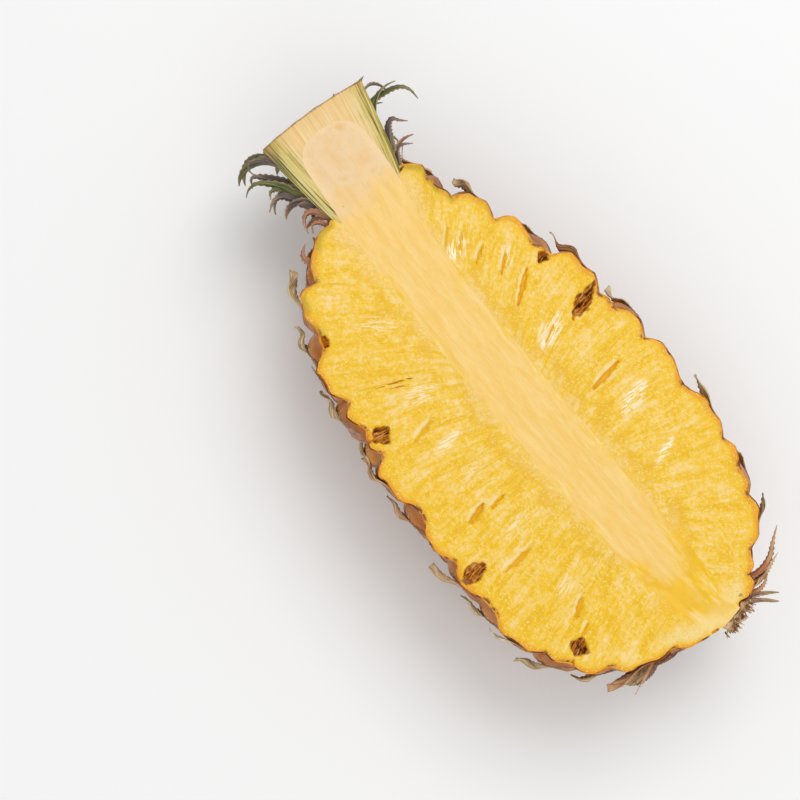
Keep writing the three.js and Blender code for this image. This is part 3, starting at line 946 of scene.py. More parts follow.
# painted light on the lit wall of each slit
SLIT_WALL_PAINTED_LIGHT = (0.95, 0.75, 0.38)
SLIT_GOLD = (0.88, 0.52, 0.004)
SLIT_DEEP = (0.83, 0.40, 0.004)
PIT_EDGE = (0.60, 0.25, 0.006)
PIT_BROWNS = [(0.12, 0.03, 0.004), (0.45, 0.13, 0.006), (0.66, 0.26, 0.015), (0.76, 0.50, 0.22)]
HEART_CREAMS = [(0.83, 0.55, 0.25), (0.85, 0.62, 0.35), (0.82, 0.51, 0.19)]
HEART_RING = (0.92, 0.68, 0.38)
HEART_THREAD = (0.72, 0.40, 0.12)
WET = {"Subsurface Weight": 0.12, "Subsurface Radius": (0.004, 0.0025, 0.0008), "Coat Weight": 0.05}


def make_flesh_material():
    f = Finish("flesh", "Fibre")
    mottle = f.noise(120.0, 5.0)
    cells = f.noise(760.0, 4.0)
    grain = f.noise(1300.0, 4.0)
    strands = f.fibres(38.0, 6.0, 5.0)
    threads = f.fibres(130.0, 22.0, 4.0)
    rim = f.value("rim")
    slit = f.value("slit")
    pit = f.value("pit")
    to_neck = f.span(f.axis(f.coords, "X"), 0.040, 0.070)
    unripe = f.times(to_neck, f.span(rim, 3.6, 0.8), f.span(mottle, 0.42, 0.56, 0.1, 0.75))
    # painted highlight: whitish glints on the wet streaks
    wet_glint = f.times(f.value("glint"), f.span(threads, 0.42, 0.58), f.span(strands, 0.38, 0.52))
    colour = f.paint(
        cut_face_colour(f, mottle, f.weigh((strands, 0.5), (threads, 0.2), (cells, 0.3)), rim),
        (f.times(f.span(grain, 0.53, 0.64, 0.0, 0.7), f.span(cells, 0.42, 0.58, 0.3, 1.0)), SPECK_PALE),
        (f.times(f.span(grain, 0.47, 0.37, 0.0, 0.5), f.span(cells, 0.6, 0.4)), SPECK_DEEP),
        (f.times(f.span(rim, 1.4, 0.3), f.value("notch"), f.span(cells, 0.4, 0.55)), NOTCH_BROWN),
        (unripe, UNRIPE_OLIVE),
        # painted highlight on the wet streaks
        (wet_glint, GLINT_WHITE),
        # painted light on one wall of each slit
        (f.span(f.value("lip"), 0.1, 0.8, 0.0, 0.7), SLIT_WALL_PAINTED_LIGHT),
        (f.span(slit, 0.1, 0.6, 0.0, 0.9), SLIT_GOLD),
        (f.span(slit, 0.6, 1.0, 0.0, 0.8), SLIT_DEEP),
        (f.span(pit, 0.05, 0.3, 0.0, 0.9), PIT_EDGE),
        (f.span(pit, 0.3, 0.55), f.ramp(threads, (0.42, 0.48, 0.55, 0.64), PIT_BROWNS)),
    )
    dull = f.maths("SUBTRACT", f.span(strands, 0.35, 0.65, 0.24, 0.44), f.times(wet_glint, 0.25))
    relief = f.bump(f.weigh((threads, 0.6), (strands, 1.2), (grain, 0.5)), 0.0007, 0.6)
    others = {"Normal": relief, "Specular IOR Level": 0.3, "Coat Roughness": 0.12, **WET}
    return f.surface(colour, f.maths("MAXIMUM", dull, 0.08), others)


def make_stem_material():
    f = Finish("core", "Fibre")
    mottle = f.noise(120.0, 5.0)
    strands = f.fibres(42.0, 7.0, 4.0)
    threads = f.fibres(150.0, 30.0, 3.0)
    heart = f.value("heart")
    colour = f.paint(
        cut_face_colour(f, mottle, f.weigh((strands, 0.7), (threads, 0.3)), 20.0),
        (heart, f.ramp(mottle, (0.36, 0.55, 0.7), HEART_CREAMS)),
        (f.times(f.value("ring"), 0.6), HEART_RING),
        (f.times(f.span(threads, 0.62, 0.72, 0.0, 0.35), heart), HEART_THREAD),
    )
    relief = f.bump(f.plus(threads, strands), 0.0003, 0.5)
    others = {"Normal": relief, "Specular IOR Level": 0.35, "Coat Roughness": 0.2, **WET}
    return f.surface(colour, f.span(mottle, 0.3, 0.7, 0.34, 0.5), others)


FLESH = make_flesh_material()
STEM = make_stem_material()
print("finishes:", FLESH.name, STEM.name)

# %% [markdown]
# The flesh is a slab on each side of the stem. Its fibres fan out from the stem and lean towards the
# crown, so the grid's rows follow them: each row joins a place on the stem's edge to the place on the
# rind where the same fibres end. A stretched pattern along the rows then runs the way real fibres do.

# %% Flesh
FLESH_ROWS = 380
FLESH_COLUMNS = 74
RIM_X = [-98.9, -97.2, -88.2, -74.9, -45, -9, 27, 56.5, 70.2, 88.2, 99, 103]
FIBRE_STEM_X = [-99.2, -97, -76, -57, -34.2, -9, 14.4, 34.2, 46.8, 70.2, 91.8, 102.5]
FIBRE_BOW = ([-99, -40, 40, 103], [0, 0, 2.6, 0])
FLESH_LAP = 0.5
THIN_TONE = 0.45
FLESH_FIRST = (4.6, 9.8)
SLAB_DEPTH = RECESS - 0.4
MAP_PER_MM = 0.01
FLESH_VALUES = ["stem", "rim", "base", "smear", "slit", "lip", "pit", "glint", "notch"]


def flesh_grid(row, column, side):
    """Points of the flesh on one side, from the stem's edge to the rind, and the length of their row."""
    sign = 1 if side == 0 else -1
    along = FLESH_FIRST[side] + (FRUIT_ALONG - 1.5 - FLESH_FIRST[side]) * row
    turn = np.full(along.shape, math.pi * side)
    field = eye_field(along, turn)
    rim = fruit_points(along, turn, field["height"] - FLESH_LAP)
    rim_x = x_at(along)
    stem_x = np.interp(rim_x, RIM_X, FIBRE_STEM_X)
    stem_y = stem_middle(stem_x) + sign * stem_radius(stem_x)
    bow = np.sin(math.pi * column) * np.interp(rim_x, *FIBRE_BOW)
    x = stem_x + (rim[:, 0] - stem_x) * column + bow
    y = stem_y + (rim[:, 1] - stem_y) * column
    length = np.hypot(rim[:, 0] - stem_x, rim[:, 1] - stem_y)
    return x, y, along, length, field["groove"]


def make_flesh_side(bm, side):
    verts, row, column = sheet(bm, FLESH_ROWS, FLESH_COLUMNS)
    x, y, along, length, groove = flesh_grid(row, column, side)
    from_stem = column * length
    from_rim = (1 - column) * length
    write_map(bm, verts, along * MAP_PER_MM, from_stem * MAP_PER_MM)
    wobble = value_noise(x, y, 3, 0.5)
    slit, slit_deep = marks_at(x, y, SLITS, wobble)
    # painted light on the lit wall beside each slit
    lip, _ = marks_at(x + LIT_WALL_SHIFT, y, SLITS, wobble)
    pit, pit_deep = marks_at(x, y, PITS, wobble, KITE)
    thin, thin_deep = marks_at(x, y, LINES, wobble, fade=0.4)
    # where the painted highlights of the wet streaks go
    _, glint = marks_at(x, y, GLINTS, wobble, fade=0.6)
    rough_pit = pit_deep * (0.75 + 0.6 * value_noise(x, y, 6, 1.3))
    waves = value_noise(along * 0.25, from_stem * 0.05, 5)
    calm = smooth(from_stem / 4) * smooth(from_rim / 3)
    put(verts, x, y, 0.08 + 0.28 * waves * calm - 0.6 * slit_deep - rough_pit - thin_deep)
    write_values(bm, verts, stem=from_stem + stem_shift(x), rim=from_rim, slit=slit, lip=lip * (1 - slit))
    write_values(bm, verts, pit=np.maximum(pit, THIN_TONE * thin), glint=glint)
    write_values(bm, verts, base=base_cream(x, y), smear=base_smear(x, y), notch=smooth(1.2 - groove / 2))


def close_below(bm, depth_mm):
    """Gives an open sheet walls and a bottom, so that it is a closed slab."""
    walls = bmesh.ops.extrude_edge_only(bm, edges=boundary(bm))["geom"]
    for item in walls:
        if isinstance(item, bmesh.types.BMVert):
            draw_in(item, depth_mm)
    bmesh.ops.holes_fill(bm, edges=boundary(bm), sides=0)


def make_flesh():
    bm = new_mesh("Fibre", FLESH_VALUES)
    for side in (0, 1):
        make_flesh_side(bm, side)
    close_below(bm, SLAB_DEPTH)
    finish_piece(bm, "flesh_face", [FLESH], ["flesh"])


make_flesh()

# %% [markdown]
# The stem is a strip with a rounded end. Its rows run along it, closer together at the heart's dome, and
# its finish turns from the yellow of the flesh to a pinkish cream in the crown.

# %% Stem
STEM_ROWS = 330
STEM_COLUMNS = 40
DOME_SHARE = 0.9
STEM_LAP = 0.25
STEM_VALUES = ["stem", "base", "smear", "heart", "ring"]


def make_stem():
    bm = new_mesh("Fibre", STEM_VALUES)
    verts, row, column = sheet(bm, STEM_ROWS, STEM_COLUMNS)
    a = column * 2 - 1
    start = base_edge(stem_middle(STEM_BASE_X) + (stem_radius(STEM_BASE_X) + STEM_LAP) * a)
    straight = start + (HEART_DOME_X - start) * np.clip(row / DOME_SHARE, 0, 1)
    round_off = np.clip((row - DOME_SHARE) / (1 - DOME_SHARE), 0, 1) * math.pi / 2
    x = straight + (HEART_END_X - HEART_DOME_X) * np.sin(round_off)
    radius = stem_radius(x)
    y = stem_middle(x) + (radius + STEM_LAP) * a
    write_map(bm, verts, a * 12 * MAP_PER_MM, x * MAP_PER_MM)
    waves = value_noise(y * 0.3, x * 0.03, 8)
    put(verts, x, y, 0.03 + 0.2 * (waves + 0.25) * smooth((1 - np.abs(a)) * 4))
    edge = value_noise(x, y, 4, 0.16)
    inside = np.minimum(radius * (1 - np.abs(a)), HEART_END_X - x)
    write_values(bm, verts, stem=radius * (np.abs(a) - 1) + stem_shift(x))
    write_values(bm, verts, base=base_cream(x, y), smear=base_smear(x, y))
    write_values(bm, verts, heart=smooth((x - 92 + 7 * edge + 0.01 * y * y) / 20))
    write_values(bm, verts, ring=smooth(1.2 - inside / 3) * smooth((x - 100) / 10))
    bmesh.ops.remove_doubles(bm, verts=bm.verts, dist=MERGE_MM)
    close_below(bm, SLAB_DEPTH)
    finish_piece(bm, "core_face", [STEM], ["core"])


make_stem()

# %% [markdown]
# Leaves and bracts are thin blades with sawn edges. A blade is a grid swept along a line of points: each
# row of the grid lies across that line, its width follows a taper, and every other row reaches out a
# little further for the teeth. A Solidify modifier gives the finished sheet its thickness.

# %% A blade
BLADE_ROWS = 26
BLADE_COLUMNS = 6
BLADE_THICKNESS = 0.35
BLADE_VALUES = ["tip", "edge", "shade", "root"]
TRIM_HEIGHT = -0.35
LOWEST_X = -105.5


def unit(vectors):
    return vectors / np.maximum(np.linalg.norm(vectors, axis=-1, keepdims=True), 1e-9)


def spline(points, count):
    """A smooth line through points, as count + 1 places evenly spread along it."""
    points = np.asarray(points, float)
    padded = np.vstack([2 * points[0] - points[1], points, 2 * points[-1] - points[-2]])
    parts = []
    for i in range(1, len(padded) - 2):
        p0, p1, p2, p3 = padded[i - 1:i + 3]
        t = np.linspace(0, 1, 20, endpoint=False)[:, None]
        bend = 2 * p0 - 5 * p1 + 4 * p2 - p3
        parts.append(0.5 * (2 * p1 + (p2 - p0) * t + bend * t**2 + (3 * p1 - p0 - 3 * p2 + p3) * t**3))
    line = np.vstack([*parts, padded[-2:-1]])
    walked = np.concatenate([[0], np.cumsum(np.linalg.norm(np.diff(line, axis=0), axis=1))])
    even = np.linspace(0, walked[-1], count + 1)
    return np.stack([np.interp(even, walked, line[:, k]) for k in range(3)], axis=1)


def saw(share, row, a, size, sharpness):
    """Teeth on every other row at the blade's two edges, smaller towards its ends."""
    fade = smooth(share * sharpness[0]) * smooth((1 - share) * sharpness[1])
    return size * (row % 2) * (np.abs(a) > 0.99) * fade


def add_blade(bm, line, side, taper, shape, tones):
    """One blade along a line. Side points across it, and the taper is its half width, row by row."""
    teeth, cup = shape
    rows = len(line) - 1
    verts, share, across = sheet(bm, rows, BLADE_COLUMNS)
    row = np.rint(share * rows).astype(int)
    a = across * 2 - 1
    over = unit(np.cross(np.gradient(line, axis=0), side))
    wide = taper[row] + saw(share, row, a, teeth, (5, 3))
    put(verts, *(line[row] + side[row] * (a * wide)[:, None] + over[row] * (cup * wide * a * a)[:, None]).T)
    length = np.linalg.norm(np.diff(line, axis=0), axis=1).sum()
    write_map(bm, verts, 0.5 + a * wide * MAP_PER_MM, share * length * MAP_PER_MM)
    write_values(bm, verts, tip=share, edge=np.abs(a), shade=tones[0], root=tones[1])


def radial(turn):
    """The way out from the fruit's axis at an angle, and the way round it there."""
    out = np.array([0, math.cos(turn), -math.sin(turn)])
    return out, np.array([0, -math.sin(turn), -math.cos(turn)])


def add_grown_blade(bm, root, heading, length, floor_gap, round_, twist, taper, shape, tones):
    """A blade that grows from its root along its headings, kept off the floor."""
    line = root + np.cumsum(unit(heading) * length / BLADE_ROWS, axis=0)
    line = np.maximum(line, [LOWEST_X, -np.inf, floor_gap - FLOOR_DEPTH])
    over = unit(np.cross(np.gradient(line, axis=0), round_))
    side = unit(round_ * np.cos(twist) + over * np.sin(twist))
    add_blade(bm, line, side, taper, shape, tones)


def trim_at_cut(bm, height=TRIM_HEIGHT):
    """The knife went through everything that stands above the cut face."""
    geom = [*bm.verts, *bm.edges, *bm.faces]
    bmesh.ops.bisect_plane(bm, geom=geom, plane_co=(0, 0, height), plane_no=(0, 0, 1), clear_outer=True)


def finish_blades(bm, name, material, thickness=BLADE_THICKNESS):
    piece = finish_piece(bm, name, [material], recalc=False)
    solid = piece.modifiers.new("thickness", "SOLIDIFY")
    solid.thickness = thickness * MM
    solid.offset = 0
    solid.use_even_offset = False


print("a blade has", BLADE_COLUMNS, "columns")

# %% [markdown]
# One finish serves the crown's leaves and one the dry bracts. Both have fine veins along the blade. The
# leaves are waxy grey-green with a paler root and a dry, reddish tip and edge; the bracts are papery,
# pinkish tan where they grow from the skin and straw grey at their free tip.

# %% Leaf and bract finishes
LEAF_STOPS = (0.35, 0.52, 0.68)
LEAF_TONES = [
    [(0.045, 0.05, 0.012), (0.12, 0.13, 0.035), (0.30, 0.29, 0.12)],
    [(0.05, 0.04, 0.04), (0.15, 0.11, 0.105), (0.34, 0.27, 0.22)],
    [(0.20, 0.06, 0.03), (0.43, 0.19, 0.10), (0.62, 0.40, 0.27)],
]
LEAF_PALE = (0.55, 0.52, 0.20)
LEAF_DRY = (0.36, 0.24, 0.13)
LEAF_SAW = (0.42, 0.29, 0.15)
BRACT_STOPS = (0.36, 0.5, 0.66)
BRACT_TONES = [
    [(0.17, 0.07, 0.045), (0.48, 0.26, 0.17), (0.68, 0.46, 0.33)],
    [(0.26, 0.15, 0.06), (0.62, 0.45, 0.23), (0.80, 0.67, 0.42)],
    [(0.22, 0.06, 0.02), (0.52, 0.21, 0.09), (0.68, 0.42, 0.25)],
]
BRACT_OLD = (0.13, 0.07, 0.05)
BRACT_EDGE = (0.20, 0.10, 0.06)
TORN_BROWNS = [(0.13, 0.05, 0.02), (0.38, 0.20, 0.09), (0.66, 0.44, 0.25)]


def make_leaf_material():
    f = Finish("crown leaf", "Blade")
    veins = f.fibres(260.0, 8.0, 3.0)
    patches = f.noise(210.0, 3.0)
    tip = f.value("tip")
    shade = f.value("shade")
    green, grey, rust = [f.ramp(veins, LEAF_STOPS, tones) for tones in LEAF_TONES]
    colour = f.paint(
        green,
        (f.span(shade, 0.3, 0.5), grey),
        (f.span(shade, 0.66, 0.8), rust),
        (f.times(f.span(tip, 0.45, 0.0, 0.0, 0.7), f.value("root")), LEAF_PALE),
        (f.times(f.span(tip, 0.6, 1.0, 0.0, 0.8), f.span(patches, 0.4, 0.6, 0.3, 1.0)), LEAF_DRY),
        (f.times(f.span(f.value("edge"), 0.7, 1.0), f.span(patches, 0.4, 0.6, 0.2, 0.8)), LEAF_SAW),
    )
    others = {"Normal": f.bump(veins, 0.0003, 0.8), "Specular IOR Level": 0.3}
    return f.surface(colour, f.span(patches, 0.3, 0.7, 0.42, 0.62), others)


def make_bract_material():
    f = Finish("dry bract", "Blade")
    veins = f.fibres(190.0, 9.0, 4.0)
    patches = f.noise(230.0, 4.0)
    tip = f.value("tip")
    shade = f.value("shade")
    tan, straw, rust = [f.ramp(veins, BRACT_STOPS, tones) for tones in BRACT_TONES]
    colour = f.paint(
        tan,
        (f.span(shade, 0.7, 0.85), rust),
        (f.times(f.span(tip, 0.35, 0.6), f.span(shade, 0.8, 0.95, 1.0, 0.35)), straw),
        (f.times(f.span(patches, 0.5, 0.62, 0.0, 0.75), f.span(shade, 0.1, 0.6, 1.0, 0.4)), BRACT_OLD),
        (f.span(f.value("edge"), 0.7, 1.0, 0.0, 0.45), BRACT_EDGE),
    )
    others = {"Normal": f.bump(f.plus(veins, patches), 0.0004, 0.9), "Specular IOR Level": 0.25}
    return f.surface(colour, f.span(patches, 0.3, 0.7, 0.6, 0.85), others)


def make_torn_material():
    f = Finish("torn stalk", "Blade")
    both = f.weigh((f.fibres(60.0, 30.0, 4.0), 0.5), (f.noise(700.0, 4.0), 0.5))
    colour = f.ramp(both, (0.40, 0.48, 0.56), TORN_BROWNS)
    return f.surface(colour, 0.85, {"Normal": f.bump(both, 0.0012, 1.0), "Specular IOR Level": 0.2})


LEAF = make_leaf_material()
BRACT = make_bract_material()
TORN = make_torn_material()
print("finishes:", LEAF.name, BRACT.name, TORN.name)

# %% [markdown]
# Every eye has a dry bract: broad where it grows out of the skin below the eye, then drawn out to a long
# free point that lies over the eye towards the crown. The blades of all the eyes are placed on the
# relief with the same formulas that made the rind, so they lie on their pillows.

# %% Bracts on the eyes
BRACT_ROWS = 22
BRACT_ROOT = -11.8
BRACT_ROOT_RISE = 6.5
BRACT_WIDTHS = ([0, 0.12, 0.35, 0.5, 0.65, 0.85, 1], [6.8, 7.2, 5.4, 3.6, 2.3, 1.1, 0.08])
BRACT_ABOVE_CUT = -0.28
TRIMMED_EYES = 4
RUSTY_FROM_X = 70


def bract_points(n, share, a):
    """Places on the fruit for one bract: along, round, and out from the skin."""
    row = np.rint(share * BRACT_ROWS).astype(int)
    size = EYE_SIZE[n]
    rise = BRACT_ROOT_RISE * np.abs(a) ** 1.4 * (1 - share)
    wide = np.interp(share, *BRACT_WIDTHS) + saw(share, row, a, 0.7, (4, 4))
    sway = (draw(n, 2) - 0.5) * 9 * np.clip(share - 0.35, 0, 1) ** 1.5
    twist = (draw(n, 3) - 0.5) * 3.2 * smooth((share - 0.4) * 2)
    ripple = 0.5 * np.sin(a * 7 + n) * smooth((share - 0.2) * 2) * (1 - share)
    beside_cut = abs(math.cos(EYE_ANGLE[n])) ** 6
    slimmer = smooth((HALF_WIDTH - EYE_RADIUS[n]) / 8)
    reach = 2.2 + 2.6 * draw(n, 4) + (1.6 + 2 * slimmer) * beside_cut
    lift = 0.12 + reach * smooth((share - 0.3) / 0.7) ** 1.4
    along = EYE_ALONG[n] + size * (BRACT_ROOT + rise + (24 + 4.5 * draw(n, 1)) * share)
    turn = EYE_ANGLE[n] + size * (a * wide + sway) / EYE_RADIUS[n]
    return along, turn, lift + ripple + twist * a * share - 0.4 * smooth((0.05 - share) * 20)


def make_bracts():
    bm = new_mesh("Blade", BLADE_VALUES)
    verts, places = [], []
    for n in EYE_N[TRIMMED_EYES:]:
        if math.sin(EYE_ANGLE[n]) < BRACT_ABOVE_CUT:
            continue
        own, share, across = sheet(bm, BRACT_ROWS, BLADE_COLUMNS)
        a = across * 2 - 1
        verts += own
        places.append(bract_points(n, share, a))
        write_map(bm, own, 0.5 + a * np.interp(share, *BRACT_WIDTHS) * MAP_PER_MM, share * 0.2 + n)
        rusty = 0.45 if EYE_X[n] > RUSTY_FROM_X else 0.4 * abs(math.cos(EYE_ANGLE[n])) ** 8
        write_values(bm, own, tip=share, edge=np.abs(a), shade=min(0.72 * draw(n, 5) + rusty, 1))
    along, turn, out = np.concatenate(places, axis=1)
    along = np.clip(along, 0.5, FRUIT_ALONG - 0.5)
    points = fruit_points(along, turn, eye_field(along, turn)["height"] + out)
    put(verts, points[:, 0], points[:, 1], np.maximum(points[:, 2], 0.2 - FLOOR_DEPTH))
    trim_at_cut(bm)
    finish_blades(bm, "eye_bracts", BRACT)
    print(len(places), "bracts")


make_bracts()

# %% [markdown]
# The crown was cut short, so its cut face shows the layers of the leaf bases round the heart. The layers
# are fine lines that follow the leaves up to the cut end: cream inside, yellow-green near the outside,
# tan where the end has dried. The share of the way out, kept on the points, places those tones.

# %% Crown finish
LAYER_CREAMS = [(0.80, 0.50, 0.18), (0.86, 0.61, 0.27), (0.89, 0.69, 0.37)]
LAYER_GREENS = [(0.14, 0.10, 0.010), (0.48, 0.38, 0.06), (0.76, 0.59, 0.22)]
LAYER_OLIVES = [(0.06, 0.045, 0.01), (0.30, 0.27, 0.04), (0.66, 0.56, 0.22)]
END_TAN = (0.76, 0.44, 0.13)
END_BROWN = (0.30, 0.11, 0.03)


def make_crown_face_material():
    f = Finish("cut leaf bases", "Blade")
    layers = f.fibres(40.0, 1.2, 2.0)
    threads = f.fibres(120.0, 4.0, 3.0)
    lines = f.weigh((layers, 0.65), (threads, 0.35))
    edge = f.wander(f.value("outer"), f.noise(160.0, 3.0), 0.25)
    end = f.value("end")
    colour = f.paint(
        f.ramp(lines, (0.36, 0.5, 0.64), LAYER_CREAMS),
        (f.span(edge, 0.55, 0.82), f.ramp(lines, (0.40, 0.47, 0.56), LAYER_GREENS)),
        (f.span(edge, 0.86, 0.98, 0.0, 0.9), f.ramp(layers, (0.43, 0.49, 0.57), LAYER_OLIVES)),
        (f.times(f.span(end, 8.0, 0.5, 0.0, 0.6), f.span(threads, 0.45, 0.6, 0.1, 1.0)), END_TAN),
        (f.times(f.span(end, 0.9, 0.2), f.span(threads, 0.4, 0.55, 0.3, 0.9)), END_BROWN),
    )
    soft = {"Subsurface Weight": 0.08, "Subsurface Radius": (0.003, 0.002, 0.0008)}
    rough = f.span(lines, 0.35, 0.65, 0.6, 0.42)
    return f.surface(colour, rough, {"Normal": f.bump(lines, 0.0006, 0.7), **soft})


CROWN_FACE = make_crown_face_material()
print("finish:", CROWN_FACE.name)

# %% [markdown]
# The stub is two grids. One goes round the heart like a horseshoe, from its edge to the outside of the
# bundle. The other wraps the outside, its leaf bases lapping over each other, and closes the cut end.

# %% Crown stub
FACE_ROWS = 240
FACE_COLUMNS = 22
STUB_ROWS = 60
STUB_COLUMNS = 132
FLANK_SHARE = 0.38
WALL_SHARE = 0.8
END_BULGE = 1.4
STUB_LAYERS = 5


def horseshoe(walk):
    """How far up its flank a place on the horseshoe is, and how far round its end, each from 0 to 1."""
    fold = np.minimum(walk, 1 - walk)
    return np.clip(fold / FLANK_SHARE, 0, 1), np.clip((fold - FLANK_SHARE) / (0.5 - FLANK_SHARE), 0, 1)


def crown_outline(walk):
    """Places round the outside of the cut crown, from one root of the horseshoe to the other."""
    up, past = horseshoe(walk)
    x = CROWN_START_X + (CROWN_END_X - CROWN_START_X) * up
    across = np.where(walk < 0.5, 1, -1) * (1 - past)
    bulge = END_BULGE * (1 - across**2) * (up >= 1)
    return x + bulge, crown_radius(x) * across + crown_middle(x)


def heart_outline(walk):
    up, past = horseshoe(walk)
    dome = (HEART_END_X - HEART_DOME_X) * np.sin(past * math.pi / 2)
    x = CROWN_START_X + (HEART_DOME_X - CROWN_START_X) * up + dome
    return x, stem_middle(x) + np.where(walk < 0.5, 1, -1) * stem_radius(x)


def make_crown_face(bm):
    verts, walk, out = sheet(bm, FACE_ROWS, FACE_COLUMNS)
    outer_x, outer_y = crown_outline(walk)
    inner_x, inner_y = heart_outline(walk)
    x = inner_x + (outer_x - inner_x) * out
    y = inner_y + (outer_y - inner_y) * out
    signed = (y - crown_middle(x)) / crown_radius(x)
    share = np.abs(signed)
    for face in faces_of(verts):
        face.material_index = 1
    write_map(bm, verts, 0.5 + signed * 0.5, (x - CROWN_START_X) * 0.02)
    ridge = value_noise(signed * 24, x * 0.04, 11)
    put(verts, x, y, 0.05 + 0.3 * ridge * smooth((share - 0.5) * 3) * smooth(out * 5))
    to_end = CROWN_END_X + END_BULGE * (1 - np.minimum(share, 1) ** 2) - x
    write_values(bm, verts, outer=share + 0.09 * signed, end=to_end)


def make_stub(bm):
    """The outside of the bundle, and the cut end that closes it."""
    verts, up, side = sheet(bm, STUB_ROWS, STUB_COLUMNS)
    turn = math.pi * side
    wall = np.clip(up / WALL_SHARE, 0, 1)
    at_end = up > WALL_SHARE
    x = CROWN_START_X - 2 + (CROWN_END_X + 2 - CROWN_START_X) * wall
    fold = np.zeros(len(up))
    for k in range(STUB_LAYERS):
        lap = np.mod(turn * (1.3 + 0.5 * k) + 2.4 * k + x * 0.03, 1.6) / 1.6
        fold = fold + 0.35 * lap * smooth((wall - 0.12 * k) * 6)
    layers = 0.35 * value_noise(turn * 14, x * 0.05, 13)
    inward = np.clip((1 - up) / (1 - WALL_SHARE), 0, 1)
    r = (crown_radius(x) - 0.8 + 0.55 * fold + layers) * np.where(at_end, inward, 1)
    rings = 0.35 * np.sin(inward * 60 + 3 * turn) * at_end
    bulge = END_BULGE * (1 - inward**2) * at_end
    y = r * np.cos(turn) + crown_middle(x)
    put(verts, x + bulge + rings * 0.5, y, np.minimum(-r * np.sin(turn), 0))
    shade = 0.2 + 0.2 * value_noise(turn * 5, x * 0.1, 15)
    write_values(bm, verts, tip=0.25, edge=0, shade=shade, root=1, outer=inward, end=5)
    write_map(bm, verts, 0.5 + turn * 0.15, x * MAP_PER_MM)
    height = dict(zip(verts, up))
    cut = [face for face in faces_of(verts) if min(height[vert] for vert in face.verts) > WALL_SHARE - 0.01]
    for face in cut:
        face.material_index = 1
    write_map(bm, verts, 0.5 + inward * 0.5, turn * 0.3, cut)


def make_crown_stub():
    bm = new_mesh("Blade", [*BLADE_VALUES, "outer", "end"])
    make_crown_face(bm)
    make_stub(bm)
    bmesh.ops.remove_doubles(bm, verts=bm.verts, dist=MERGE_MM / 2)
    finish_piece(bm, "crown_stub", [LEAF, CROWN_FACE], ["crown"])


make_crown_stub()

# %% [markdown]
# The short leaves that were left on the stub curl away from it in all directions. The ones beside the cut
# face are the ones that show, so each of them is a line of its own: points along it, its width and
# its turn. The rest grow below by the golden angle, as they do on the plant.

# %% Crown leaves
GREEN, GREY, RUST = 0.1, 0.6, 0.95
SHOWN_LEAVES = [
    (GREEN, 1.7, 60, 80, [(131, -18.5, -2.5), (134.5, -20.8, -2), (136.2, -22.6, -1.4),
                          (137.2, -25.4, -0.6)]),
    (GREEN, 2.3, 25, 75, [(124, -18.4, -4), (128.6, -22.9, -4), (128.6, -28.7, -3.4), (127, -34, -2.6),
                          (123.7, -36.4, -2), (119.2, -36.9, -2.6)]),
    (GREY, 2.2, 30, 70, [(109, -16.6, -3), (114, -19.2, -2.4), (117.6, -21.6, -2), (118.9, -24.4, -1.6),
                         (117, -26.2, -2.4), (114.6, -28.6, -2)]),
    (GREY, 1.6, 20, 60, [(102, -14.8, -2), (105.4, -16.6, -1.6), (108.3, -18.4, -1.2), (109, -21, -1),
                         (106.8, -24.9, -1.6)]),
    (GREY, 0.9, 20, 50, [(96, -13.6, -3), (97.4, -15.4, -2), (97, -17.6, -1.4), (95.6, -19.4, -1.2),
                         (91.8, -21.6, -1.6)]),
    (RUST, 1.3, 30, 70, [(97, -13.2, -2), (94.4, -15.4, -1), (92.6, -17.4, -0.8), (89.9, -19.6, -1)]),
    (GREY, 1.2, 10, 40, [(126, 17.2, -3), (131.6, 21.4, -3), (135, 25.1, -2.6), (135.4, 28, -2.2),
                         (132.7, 29.3, -2), (129.8, 27.4, -2.6)]),
    (GREEN, 2.5, 20, 70, [(108, 15.8, -4), (116.5, 20.6, -3.6), (121.8, 23.2, -3), (125.8, 26.6, -2.6),
                          (128.3, 30.4, -2), (127.8, 34.1, -1.6), (126.2, 36.2, -2.4)]),
    (GREY, 2.6, 30, 75, [(106, 15.6, -5), (114.8, 21.4, -5), (119.2, 24.8, -4.4), (119.6, 28.8, -3.4),
                         (117.1, 32.6, -3)]),
    (GREY, 2.8, 30, 60, [(114, 16.6, -6), (122, 20.6, -6), (128, 25, -5.4), (131.4, 29.4, -5),
                         (128.4, 31.4, -7)]),
    (GREEN, 1.8, 40, 80, [(116, 17.6, -3), (121, 22, -3.6), (123, 27.2, -3.4), (120.6, 29.4, -3)]),
    (GREY, 1.8, 40, 70, [(126, 17.6, -2), (130.6, 20, -1.4), (133.6, 21.6, -1), (135.6, 23.4, -1.4)]),
    (GREY, 1.6, 30, 70, [(104, 15, -3), (109, 18, -2.6), (112.6, 20.8, -2), (113.2, 24, -2.4)]),
    (RUST, 2.0, 20, 75, [(97, 14, -2.4), (103, 16.8, -2), (107.4, 19.4, -1.4), (108.6, 22.6, -1.2),
                         (106.4, 25, -2), (102.6, 26, -3)]),
    (RUST, 1.8, 20, 60, [(94, 14.4, -3), (99.6, 18, -2.6), (103.4, 20.4, -2), (104.2, 23, -2),
                         (101.6, 24.6, -3)]),
    (RUST, 1.7, 15, 60, [(84, 24.6, -2.6), (91, 24.6, -2), (96, 23.4, -1.6), (99.4, 22.4, -1.6)]),
    (RUST, 2.2, 30, 80, [(86, 28.4, -3), (92.4, 31.6, -2.4), (97.2, 32.6, -2), (100.4, 29, -2.4)]),
]
SHOWN_TAPER = ([0, 0.2, 0.5, 0.8, 1], [1.35, 1.0, 0.62, 0.24, 0.03])
UNDER_TAPER = ([0, 0.25, 0.6, 0.85, 1], [1.3, 1.0, 0.58, 0.22, 0.03])
UNDER_LEAVES = 44
